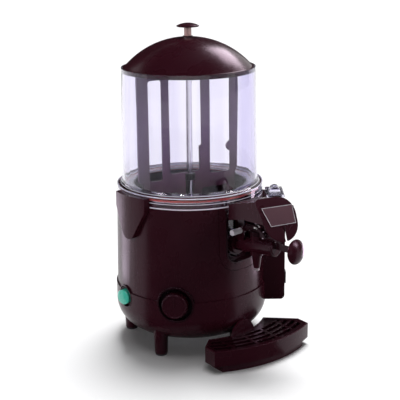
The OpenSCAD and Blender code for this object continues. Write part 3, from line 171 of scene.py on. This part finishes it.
def makeTintDrift():
    # slow colour change over a moulding, with specks of dust that have settled in patches
    group, given, end = newGroup("tintDrift", {
        "Base": (0.1, 0.05, 0.05, 1), "Drift": (0.1, 0.05, 0.05, 1), "Dust": (0.3, 0.28, 0.27, 1),
        "Dust Amount": 0.05, "Scale": 9.0}, {"Color": "Color"})
    slow = addNoise(group, given["Vector"], given["Scale"], detail=2.0, roughness=0.5)
    drifted = addMix(group, addRamp(group, slow, 0.35, 0.68), given["Base"], given["Drift"])
    specks = addNoise(group, given["Vector"], 420.0, detail=3.0, roughness=0.6)
    patches = addNoise(group, given["Vector"], 21.0, detail=2.0, roughness=0.6)
    mask = addMath(group, "MULTIPLY", addRamp(group, specks, 0.56, 0.74), addRamp(group, patches, 0.45, 0.7))
    mask = addMath(group, "MULTIPLY", mask, given["Dust Amount"])
    fill(group, end, {"Color": addMix(group, mask, drifted, given["Dust"])})
    return group


def makeHandledGloss():
    # roughness that wanders between two values, with fine rub marks
    group, given, end = newGroup("handledGloss", {"Low": 0.2, "High": 0.35, "Rub": 0.05, "Scale": 14.0},
                                 {"Roughness": "Float"})
    slow = addNoise(group, given["Vector"], given["Scale"], detail=3.0, roughness=0.55)
    rough = addRamp(group, slow, 0.3, 0.7, given["Low"], given["High"])
    drawn = addStretch(group, given["Vector"], scale=(40, 520, 90), rotation=(0.3, 0.5, 0.9))
    marks = addRamp(group, addNoise(group, drawn, 1.0, detail=2.0, roughness=0.5), 0.6, 0.72)
    marks = addMath(group, "MULTIPLY", marks, given["Rub"])
    fill(group, end, {"Roughness": addMath(group, "ADD", rough, marks)})
    return group


def makeMouldGrain():
    # the fine texture a mould leaves, over a faint slow ripple
    group, given, end = newGroup("mouldGrain", {"Scale": 1800.0, "Ripple": 0.4}, {"Height": "Float"})
    fine = addNoise(group, given["Vector"], given["Scale"], detail=2.0, roughness=0.6)
    slow = addNoise(group, given["Vector"], 36.0, detail=1.0, roughness=0.4)
    ripple = addMath(group, "MULTIPLY", slow, given["Ripple"])
    fill(group, end, {"Height": addMath(group, "ADD", fine, ripple)})
    return group


def makeBrushLines():
    # lines left by brushing or turning, which run level as long as Z is stretched the most
    group, given, end = newGroup("brushLines", {"Low": 0.2, "High": 0.4, "Stretch": (30.0, 30.0, 1600.0)},
                                 {"Height": "Float", "Roughness": "Float"})
    product = addNode(group, "VectorMath", {0: given["Vector"], 1: given["Stretch"]})
    product.operation = "MULTIPLY"
    lines = addNoise(group, product.outputs["Vector"], 1.0, detail=3.0, roughness=0.6)
    rough = addRamp(group, lines, 0.3, 0.7, given["Low"], given["High"])
    fill(group, end, {"Height": lines, "Roughness": rough})
    return group


def makeHeightTint():
    # one colour low down and another high up, with an uneven border
    group, given, end = newGroup("heightTint", {
        "Lower": (0.1, 0.05, 0.05, 1), "Upper": (0.1, 0.05, 0.05, 1), "From": 0.26, "To": 0.36},
        {"Color": "Color"})
    parts = addNode(group, "SeparateXYZ", {"Vector": given["Vector"]})
    uneven = addNoise(group, given["Vector"], 30.0, detail=2.0, roughness=0.5)
    wander = addMath(group, "MULTIPLY", uneven, 0.03)
    height = addMath(group, "ADD", parts.outputs["Z"], wander)
    mask = addRamp(group, height, given["From"], given["To"])
    fill(group, end, {"Color": addMix(group, mask, given["Lower"], given["Upper"])})
    return group


tintDrift = makeTintDrift()
handledGloss = makeHandledGloss()
mouldGrain = makeMouldGrain()
brushLines = makeBrushLines()
heightTint = makeHeightTint()
print("shared effects built")


def useGroup(tree, group, coords, values):
    node = tree.nodes.new("ShaderNodeGroup")
    node.node_tree = group
    fill(tree, node, {"Vector": coords, **values})
    return node.outputs


def bare(name):
    material = bpy.data.materials.new(name)
    material.use_nodes = True
    tree = material.node_tree
    shader = tree.nodes["Principled BSDF"]
    coords = tree.nodes.new("ShaderNodeTexCoord").outputs["Object"]
    return material, tree, shader, coords


def opaque(colour):
    return colour + (1,)


def addBump(tree, height, strength, distance):
    values = {"Height": height, "Strength": strength, "Distance": distance}
    return addNode(tree, "Bump", values).outputs["Normal"]


rubMarks = 0.03
bumpDepth = {"moulded": 0.0002, "metal": 0.0001, "clear": 0.0004}   # metres


def moulded(name, base, drift, low, high, grain=1800.0, bump=0.12, dust=0.03, coat=0.0, specular=0.5,
            sheen=0.0, tint=(1.0, 1.0, 1.0)):
    material, tree, shader, coords = bare(name)
    colour = useGroup(tree, tintDrift, coords,
                      {"Base": opaque(base), "Drift": opaque(drift), "Dust Amount": dust})
    gloss = useGroup(tree, handledGloss, coords, {"Low": low, "High": high, "Rub": rubMarks})
    surface = useGroup(tree, mouldGrain, coords, {"Scale": grain})
    fill(tree, shader, {
        "Base Color": colour["Color"], "Roughness": gloss["Roughness"],
        "Normal": addBump(tree, surface["Height"], bump, bumpDepth["moulded"]),
        "Specular IOR Level": specular, "Specular Tint": opaque(tint),
        "Coat Weight": coat, "Coat Roughness": 0.12, "Sheen Weight": sheen})
    return material


def graded(name, lower, upper, start, end, low, high, specular):
    # start and end are the heights, in metres, between which one colour turns into the other
    material, tree, shader, coords = bare(name)
    colour = useGroup(tree, heightTint, coords,
                      {"Lower": opaque(lower), "Upper": opaque(upper), "From": start, "To": end})
    gloss = useGroup(tree, handledGloss, coords, {"Low": low, "High": high, "Rub": rubMarks})
    surface = useGroup(tree, mouldGrain, coords, {"Scale": 1200.0})
    fill(tree, shader, {
        "Base Color": colour["Color"], "Roughness": gloss["Roughness"],
        "Normal": addBump(tree, surface["Height"], strength=0.05, distance=bumpDepth["moulded"]),
        "Specular IOR Level": specular})
    return material


def metal(name, base, drift, low, high, stretch=(30.0, 30.0, 1600.0), bump=0.15, bands=(1.0, 1.0, 1.0),
          scale=25.0):
    material, tree, shader, coords = bare(name)
    # stretched far along Z, as on the polished column, the tint turns into upright bright and dark bands,
    # which are painted reflection streaks
    drawn = addStretch(tree, coords, bands)   # draws the tint out along an upright tube
    colour = useGroup(tree, tintDrift, drawn,
                      {"Base": opaque(base), "Drift": opaque(drift), "Dust Amount": 0.0, "Scale": scale})
    lines = useGroup(tree, brushLines, coords, {"Low": low, "High": high, "Stretch": stretch})
    fill(tree, shader, {
        "Base Color": colour["Color"], "Roughness": lines["Roughness"],
        "Normal": addBump(tree, lines["Height"], bump, bumpDepth["metal"]), "Metallic": 1.0})
    return material


def clear(name, base, drift, low, high, ior, transmission):
    material, tree, shader, coords = bare(name)
    # the lilac in these tall bands is partly the plastic's own tone and partly a painted reflection veil
    paintedVeilBands = addStretch(tree, coords, (1.0, 1.0, 0.05))   # tall soft bands around the wall
    colour = useGroup(tree, tintDrift, paintedVeilBands,
                      {"Base": opaque(base), "Drift": opaque(drift), "Dust Amount": 0.0, "Scale": 13.0})
    gloss = useGroup(tree, handledGloss, coords, {"Low": low, "High": high, "Rub": rubMarks, "Scale": 9.0})
    surface = useGroup(tree, mouldGrain, coords, {"Scale": 60.0, "Ripple": 1.0})
    fill(tree, shader, {
        "Base Color": colour["Color"], "Roughness": gloss["Roughness"],
        "Normal": addBump(tree, surface["Height"], strength=0.05, distance=bumpDepth["clear"]),
        "IOR": ior, "Transmission Weight": transmission})
    return material


# each has its colour, the colour it drifts to, and its lowest and highest roughness, but the paddle's colours
# are those of its lower and its upper part, and the upper one is lightened into a painted lilac veil, the
# reflection the bowl's wall lays over the paddle
finishes = {
    "cocoa_plastic": moulded("cocoaPlastic", (0.0200, 0.0028, 0.0058), (0.0155, 0.0021, 0.0045), 0.22, 0.31,
                             bump=0.03, dust=0.012, specular=0.2, tint=(1.0, 0.74, 0.9)),
    "dark_plastic": moulded("darkPlastic", (0.0120, 0.0024, 0.0042), (0.0090, 0.0019, 0.0034), 0.2, 0.3,
                            grain=1200.0, bump=0.04, dust=0.01, specular=0.22, tint=(1.0, 0.75, 0.9)),
    # the paddle's upper colour is its own dark plastic lightened with a painted reflection veil
    "paddle_plastic": graded("paddlePlasticPaintedVeil", (0.045, 0.010, 0.015), (0.120, 0.080, 0.130),
                             start=0.27, end=0.40, low=0.3, high=0.42, specular=0.3),
    # milky rings at the bowl's flange, lighter than the clear plastic: partly its milkiness at thick edges,
    # partly a painted highlight
    "milky_plastic": clear("milkyPaintedHighlight", (0.93, 0.90, 0.96), (0.84, 0.80, 0.90), 0.12, 0.2,
                           ior=1.4, transmission=0.35),
    "grille_plastic": moulded("grillePlastic", (0.0100, 0.0018, 0.0034), (0.0080, 0.0015, 0.0028), 0.1, 0.16,
                              bump=0.03, dust=0.01, tint=(1.0, 0.8, 0.92)),
    "tip_plastic": moulded("tipPlastic", (0.20, 0.17, 0.18), (0.15, 0.12, 0.13), 0.3, 0.42, dust=0.05),
    # the polished column's dark second colour, drawn into upright bands, is a painted reflection of dark
    # surroundings, not a tone of the steel
    "polished_steel": metal("polishedSteelPaintedStreaks", (0.86, 0.85, 0.90), (0.12, 0.09, 0.12), 0.06, 0.14,
                            stretch=(8.0, 8.0, 300.0), bump=0.04, bands=(1.0, 1.0, 0.004), scale=170.0),
    # the bowl's lilac second colour, laid in upright bands, is partly the plastic's own tint and partly a
    # painted lilac reflection veil
    "clear_plastic": clear("clearPlasticPaintedVeil", (0.95, 0.94, 0.98), (0.76, 0.73, 0.90), 0.01, 0.03,
                           ior=1.38, transmission=1.0),
    "grip_plastic": clear("gripPlastic", (0.62, 0.45, 0.42), (0.55, 0.38, 0.36), 0.12, 0.22,
                          ior=1.4, transmission=0.6),
    "black_plastic": moulded("blackPlastic", (0.010, 0.009, 0.011), (0.007, 0.007, 0.009), 0.35, 0.5,
                             bump=0.1, specular=0.25),
    "white_plastic": moulded("whitePlastic", (0.74, 0.74, 0.72), (0.68, 0.67, 0.64), 0.3, 0.42,
                             bump=0.08, dust=0.2),
    "grey_plastic": moulded("greyPlastic", (0.42, 0.41, 0.43), (0.36, 0.35, 0.37), 0.28, 0.4,
                            grain=1400.0, dust=0.2),
    "button_green": moulded("buttonGreen", (0.030, 0.36, 0.25), (0.05, 0.45, 0.33), 0.14, 0.24,
                            bump=0.04, coat=0.5),
    "badge": moulded("badgePlate", (0.064, 0.028, 0.036), (0.052, 0.023, 0.030), 0.26, 0.34,
                     grain=900.0, bump=0.06, coat=0.2, specular=0.3),
    "steel": metal("brushedSteel", (0.52, 0.51, 0.55), (0.44, 0.43, 0.47), 0.14, 0.28),
    "heater": metal("heaterSheath", (0.16, 0.15, 0.16), (0.11, 0.105, 0.115), 0.35, 0.55,
                    stretch=(200.0, 200.0, 200.0)),
    "motor_paint": moulded("motorEnamel", (0.030, 0.031, 0.034), (0.022, 0.023, 0.026), 0.3, 0.45,
                           grain=500.0, bump=0.2),
    "gear_case": metal("castCase", (0.42, 0.43, 0.45), (0.34, 0.35, 0.37), 0.4, 0.6,
                       stretch=(700.0, 700.0, 700.0), bump=0.4),
    "brass": metal("turnedBrass", (0.62, 0.44, 0.18), (0.54, 0.37, 0.14), 0.2, 0.34),
    "silicone": moulded("redSilicone", (0.34, 0.032, 0.022), (0.27, 0.026, 0.018), 0.38, 0.5,
                        grain=700.0, bump=0.15, sheen=0.2),
    "rubber": moulded("blackRubber", (0.012, 0.0115, 0.013), (0.009, 0.0085, 0.010), 0.5, 0.68,
                      grain=800.0, bump=0.2, sheen=0.1, specular=0.3),
}


def giveFinish(piece, material):
    piece.data.materials.clear()
    piece.data.materials.append(material)


for name, node in nodes.items():
    giveFinish(node, finishes[slotOf[name]])
print("finishes on the nodes")


def addPiece(name, mesh, body, material, replaced=()):
    for face in mesh.polygons:
        face.use_smooth = True
    piece = addObject(name, mesh)
    giveFinish(piece, material)
    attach(piece, body)
    if replaced:
        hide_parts(*replaced)
    return piece


def evenShading(piece, weight):
    evening = piece.modifiers.new("evening", "WEIGHTED_NORMAL")
    evening.keep_sharp = False
    evening.weight = weight


# joinWithin and shortest in metres; flat and sharp in degrees between two faces
moulding = {"joinWithin": 2e-6, "shortest": 1e-6, "flat": 1.2, "sharp": 32.0, "segments": 3, "weight": 80}
# the mouldings whose finish isn't the one that goes with their slot
ownFinish = {"paddle": "paddle_plastic", "drip_grille": "grille_plastic", "nozzle_tip": "tip_plastic",
             "column": "polished_steel", "tap_end_cap": "cocoa_plastic"}
edgeRadii = {   # millimetres
    "lower_casing": 0.5, "upper_casing": 0.5, "tap_bay_liner": 0.8, "left_handle": 1.6, "right_handle": 1.6,
    "base_plate": 0.3, "base_screws": 0.4, "foot_pads": 0.8, "cord_gland": 0.6, "bowl": 0.5, "bowl_seal": 0.6,
    "column": 0.4, "column_nut": 0.5, "column_bush": 0.3, "paddle": 0.9, "paddle_collar": 0.6,
    "paddle_cap": 0.5, "lid": 0.6, "lid_knob": 0.5, "knob_base": 0.4, "tap_body": 0.5, "tap_lock_ring": 0.5,
    "tap_end_cap": 0.6, "nozzle": 0.4, "nozzle_tip": 0.15, "tap_bonnet": 0.4, "tap_lever": 0.6,
    "lever_pin": 0.5, "lever_knob": 0.8, "tap_cover": 0.9, "badge_plate": 0.3, "dial_bezel": 0.6,
    "dial_knob": 0.8, "switch_cup": 0.6, "switch_body": 0.5, "green_button": 0.7, "side_housing": 1.2,
    "filler_cap": 0.7, "filler_tube": 0.4, "drain_plug": 0.8, "drip_tray": 0.9, "drip_grille": 0.7,
    "knob_stem": 0.25,
}


def roundEdges(node, width):
    # a merged copy of the node's mesh, with its coplanar triangles joined and its sharp edges rounded
    form = bmesh.new()
    form.from_mesh(nodes[node].data)
    bmesh.ops.remove_doubles(form, verts=form.verts, dist=moulding["joinWithin"])
    bmesh.ops.dissolve_degenerate(form, edges=form.edges, dist=moulding["shortest"])
    bmesh.ops.dissolve_limit(form, angle_limit=math.radians(moulding["flat"]), verts=form.verts,
                             edges=form.edges)
    name = node + "Moulding"
    material = finishes[ownFinish.get(node, slotOf[node])]
    piece = addPiece(name, meshFrom(form, name), bodyOf[node], material, (node,))
    rounding = piece.modifiers.new("rounding", "BEVEL")
    rounding.width = width
    rounding.segments = moulding["segments"]
    rounding.limit_method = "ANGLE"
    rounding.angle_limit = math.radians(moulding["sharp"])
    rounding.miter_outer = "MITER_ARC"
    evenShading(piece, moulding["weight"])


for name, radius in edgeRadii.items():
    roundEdges(name, radius * mm)
print("rounded mouldings", len(edgeRadii))

fitted = {"joinWithin": 1e-6, "weight": 50}   # joinWithin in metres


def meshPiece(name, form, body, material):
    bmesh.ops.remove_doubles(form, verts=form.verts, dist=fitted["joinWithin"])
    bmesh.ops.recalc_face_normals(form, faces=form.faces)
    evenShading(addPiece(name, meshFrom(form, name), body, material), fitted["weight"])


def softBox(form, size, bevel):
    made = bmesh.ops.create_cube(form, size=1)["verts"]
    bmesh.ops.scale(form, vec=size, verts=made)
    edges = list({e for v in made for e in v.link_edges})
    bmesh.ops.bevel(form, geom=edges, offset=bevel, segments=2, profile=0.5, affect="EDGES", material=-1)


dial = {   # millimetres and degrees; floor, knobBack and knobFront are measured from the axis
    "azimuth": -55.5, "height": 106.0, "floor": 125.0, "sweep": 270.0, "ticks": 11,
    "tickIn": 24.3, "tickOut": 27.6, "tickWidth": 0.8, "endTickWidth": 1.2, "tickDepth": 0.5,
    "tickLift": 0.15, "tickBevel": 0.12,
    "knobR": 22.5, "knobBack": 128.0, "knobFront": 146.0, "ribs": 40, "ribSides": 8, "ribBackR": 0.75,
    "ribFrontR": 0.55, "ribSunk": 0.1}


def dialPlace():
    # +X out of the casing at the dial's middle, +Z up
    turn = Matrix.Rotation(math.radians(dial["azimuth"] - 90), 4, "Z")
    return Matrix.Translation(axis + Vector((0, 0, dial["height"] * mm))) @ turn


def makeDialTicks():
    form = bmesh.new()
    length = dial["tickOut"] - dial["tickIn"]
    last = dial["ticks"] - 1
    spot = Matrix.Translation((dial["floor"] * mm + dial["tickLift"] * mm, 0, 0))
    out = Matrix.Translation((0, 0, (dial["tickIn"] + length / 2) * mm))
    for i in range(dial["ticks"]):
        tick = bmesh.new()
        wide = dial["endTickWidth"] if i in (0, last) else dial["tickWidth"]
        softBox(tick, (dial["tickDepth"] * mm, wide * mm, length * mm), dial["tickBevel"] * mm)
        around = Matrix.Rotation(math.radians((i / last - 0.5) * dial["sweep"]), 4, "X")
        bmesh.ops.transform(tick, matrix=dialPlace() @ spot @ around @ out, verts=tick.verts)
        mesh = meshFrom(tick, "tick")
        form.from_mesh(mesh)
        bpy.data.meshes.remove(mesh)
    meshPiece("dialTicks", form, "machine", finishes["cocoa_plastic"])


def makeDialRibs():
    # half-round ribs that give the fingers a hold around the dial
    form = bmesh.new()
    length = dial["knobFront"] - dial["knobBack"]
    lay = Matrix.Rotation(math.radians(90), 4, "Y")
    along = Matrix.Translation(((dial["knobBack"] + length / 2) * mm, 0, 0))
    out = Matrix.Translation((0, 0, (dial["knobR"] - dial["ribSunk"]) * mm))
    for i in range(dial["ribs"]):
        made = bmesh.ops.create_cone(
            form, segments=dial["ribSides"], radius1=dial["ribBackR"] * mm, radius2=dial["ribFrontR"] * mm,
            depth=length * mm, cap_ends=True)["verts"]
        around = Matrix.Rotation(math.tau * i / dial["ribs"], 4, "X")
        bmesh.ops.transform(form, matrix=dialPlace() @ along @ around @ out @ lay, verts=made)
    meshPiece("dialRibs", form, "dial", finishes["cocoa_plastic"])


badge = {   # millimetres and degrees; corners and top in the plate's own frame
    "origin": (0.0, -229.5, 250.0), "turn": -16.0, "lean": 74.0, "top": 1.2,
    "corners": [(-40, 42), (-26, 9), (23, 9), (20, 41)], "edge": 2.2, "line": 0.7, "rise": 0.25,
    "sunk": 0.1}


def makeBadgeLine():
    # a plain raised line around the bare plate
    form = bmesh.new()
    low = (badge["top"] - badge["sunk"]) * mm
    face = form.faces.new([form.verts.new((x * mm, y * mm, low)) for x, y in badge["corners"]])
    for width in (badge["edge"], badge["line"]):
        ring = bmesh.ops.inset_region(form, faces=[face], thickness=width * mm, use_even_offset=True,
                                      use_boundary=True)["faces"]
    bmesh.ops.delete(form, geom=[f for f in form.faces if f not in ring], context="FACES")
    raised = bmesh.ops.extrude_face_region(form, geom=list(form.faces))["geom"]
    bmesh.ops.translate(form, vec=(0, 0, (badge["rise"] + badge["sunk"]) * mm),
                        verts=[v for v in raised if isinstance(v, bmesh.types.BMVert)])
    turn = Matrix.Rotation(math.radians(badge["turn"]), 4, "Z")
    lean = Matrix.Rotation(math.radians(badge["lean"]), 4, "X")
    place = Matrix.Translation(axis + Vector(badge["origin"]) * mm)
    bmesh.ops.transform(form, matrix=place @ turn @ lean, verts=form.verts)
    meshPiece("badgeLine", form, "bowl_unit", finishes["grey_plastic"])


beads = {   # millimetres; reach is from the seal's edge out to the flange's
    "reach": 3.9, "sides": 10, "steps": 128,
    # in from the flange's edge, up from the seal's top, radius
    "rings": [(0.9, -15.6, 1.1), (0.5, -7.0, 0.6), (0.9, 3.2, 1.0), (6.6, 6.0, 0.7)]}


def makeFlangeHighlightBeads():
    # the bowl's thick edges as milky rings: skirt foot, skirt middle, flange edge and the fillet above it;
    # their light colour is partly the milkiness of thick clear plastic and partly a painted highlight for the
    # light the flange catches
    low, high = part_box("bowl_seal")
    outer = (high[0] - low[0]) / 2 + beads["reach"] * mm
    top = high[2]
    lay = Matrix.Rotation(math.radians(90), 4, "X")
    form = bmesh.new()
    for inward, height, radius in beads["rings"]:
        corners = bmesh.ops.create_circle(form, segments=beads["sides"], radius=radius * mm)["verts"]
        place = Matrix.Translation(axis + Vector((outer - inward * mm, 0, top + height * mm)))
        bmesh.ops.transform(form, matrix=place @ lay, verts=corners)
        loop = list({e for v in corners for e in v.link_edges})
        bmesh.ops.spin(form, geom=corners + loop, cent=axis, axis=sky, angle=math.tau, steps=beads["steps"],
                       use_merge=True)
    meshPiece("flangeHighlightBeads", form, "bowl_unit", finishes["milky_plastic"])


makeFlangeHighlightBeads()
makeDialTicks()
makeDialRibs()
makeBadgeLine()
print("details made")


def makeMatte(name, colour, roughness):
    material, tree, shader, _ = bare(name)
    fill(tree, shader, {"Base Color": colour, "Roughness": roughness, "Specular IOR Level": 0.0})
    return material, tree, shader


def addSeen(tree):
    # 1 where the camera looks, straight, by reflection or through a clear wall, and 0 for light on surfaces
    rays = tree.nodes.new("ShaderNodeLightPath").outputs
    seen = addMath(tree, "MAXIMUM", rays["Is Camera Ray"], rays["Is Glossy Ray"])
    return addMath(tree, "MAXIMUM", seen, rays["Is Transmission Ray"])


cards = {   # dark cards that only reflections see; metres and degrees
    "colour": (0.02, 0.02, 0.022, 1), "roughness": 1.0, "distance": 3.4, "steps": 16,
    # azimuth, arc, low, high
    "standing": [(-96, 42, 0.0, 3.0), (-43, 50, 0.35, 3.0), (8, 34, 0.0, 3.0), (60, 40, 0.0, 3.0),
                 (150, 60, 0.2, 3.0)],
    # azimuth, arc, inner and outer radius, height
    "flat": [(-49, 128, 0.16, 2.6, 0.002), (0, 360, 0.0, 3.4, 3.05)]}


def addCard(name, azimuth, arc, ends, material):
    # the ends are the radius and height of the two corners that are spun around
    form = bmesh.new()
    turn = Matrix.Rotation(math.radians(azimuth - arc / 2), 4, "Z")
    corners = [form.verts.new(turn @ Vector((0, -radius, height))) for radius, height in ends]
    edge = form.edges.new(corners)
    bmesh.ops.spin(form, geom=corners + [edge], cent=(0, 0, 0), axis=sky, angle=math.radians(arc),
                   steps=cards["steps"])
    card = addObject(name, meshFrom(form, name))
    giveFinish(card, material)
    for flag in ("camera", "diffuse", "transmission", "shadow"):
        setattr(card, "visible_" + flag, False)


def makeCards():
    material = makeMatte("darkCard", cards["colour"], cards["roughness"])[0]
    far = cards["distance"]
    for i, (azimuth, arc, low, high) in enumerate(cards["standing"]):
        addCard(f"standingCard{i}", azimuth, arc, [(far, low), (far, high)], material)
    for i, (azimuth, arc, inner, outer, height) in enumerate(cards["flat"]):
        addCard(f"flatCard{i}", azimuth, arc, [(inner, height), (outer, height)], material)


# lift is how much the floor brightens where it is seen, ambient what the air lights surfaces with
studio = {"floorSize": 14.0, "floorColour": (0.96, 0.96, 0.97, 1), "floorRoughness": 0.9,
          "white": (1, 1, 1, 1), "lift": 0.03, "ambient": 0.06}


def makeFloor():
    form = bmesh.new()
    bmesh.ops.create_grid(form, x_segments=1, y_segments=1, size=studio["floorSize"])
    floor = addObject("paleFloor", meshFrom(form, "paleFloor"))
    material, tree, shader = makeMatte("paleFloor", studio["floorColour"], studio["floorRoughness"])
    glow = addMath(tree, "MULTIPLY", addSeen(tree), studio["lift"])
    fill(tree, shader, {"Emission Color": studio["white"], "Emission Strength": glow})
    giveFinish(floor, material)
    # the softboxes leave the floor out, so that the contact shadow keeps its depth
    skipped = bpy.data.collections.new("notLitBySoftboxes")
    skipped.objects.link(floor)
    skipped.collection_objects[0].light_linking.link_state = "EXCLUDE"
    return skipped


def makeWorld():
    world = bpy.data.worlds.new("studioAir")
    bpy.context.scene.world = world
    world.use_nodes = True
    tree = world.node_tree
    extra = addMath(tree, "MULTIPLY", addSeen(tree), 1 - studio["ambient"])
    strength = addMath(tree, "ADD", extra, studio["ambient"])
    fill(tree, tree.nodes["Background"], {"Color": studio["white"], "Strength": strength})


# strength, softness in degrees, direction it comes from
suns = [(2.75, 24.0, (0.60, 0.36, 2.35)), (0.75, 60.0, (0.1, 0.0, 1.0))]
# name, place, aim, size, watts, colour, whether it lights surfaces too
lamps = [
    ("frontRightSoftbox", (1.25, -1.9, 1.6), (0, 0, 0.3), (0.9, 0.9), 45, (1.0, 0.92, 1.0), True),
    ("leftSoftbox", (-2.2, 0.1, 1.3), (0, 0, 0.3), (0.7, 1.0), 30, (1.0, 0.9, 1.0), True),
    ("leftSheen", (-0.21, 0.43, 0.11), (0, 0, 0.16), (0.16, 0.2), 0.35, (0.95, 0.82, 1.0), False),
    ("rightSheen", (0.45, -0.12, 0.10), (0, 0, 0.14), (0.24, 0.18), 0.8, (1.0, 0.78, 1.0), False),
    ("domeSheen", (1.9, 0.35, 2.1), (0, 0, 0.5), (1.1, 1.0), 42, (1.0, 0.86, 0.97), False),
    ("knobSheen", (-1.5, -0.9, 1.6), (0, 0, 0.3), (0.3, 0.3), 25, (1.0, 0.86, 0.95), False),
]


def addLamp(name, kind, strength, direction):
    data = bpy.data.lights.new(name, kind)
    data.energy = strength
    lamp = addObject(name, data)
    lamp.rotation_euler = direction.to_track_quat("Z", "Y").to_euler()
    return lamp


def makeSuns():
    for i, (strength, softness, source) in enumerate(suns):
        lamp = addLamp(f"roomLight{i}", "SUN", strength, Vector(source))
        lamp.data.angle = math.radians(softness)
        lamp.visible_glossy = False
        lamp.visible_transmission = False


def makeLamps(skipped):
    for name, place, aim, size, watts, colour, full in lamps:
        lamp = addLamp(name, "AREA", watts, Vector(place) - Vector(aim))
        lamp.data.shape = "RECTANGLE"
        lamp.data.size, lamp.data.size_y = size
        lamp.data.color = colour
        lamp.light_linking.receiver_collection = skipped
        lamp.visible_camera = False
        lamp.visible_diffuse = full
        lamp.visible_transmission = full
        lamp.location = place


skippedBySoftboxes = makeFloor()
makeCards()
makeWorld()
makeSuns()
makeLamps(skippedBySoftboxes)
bpy.context.scene.view_settings.view_transform = "Standard"
print("studio lit")
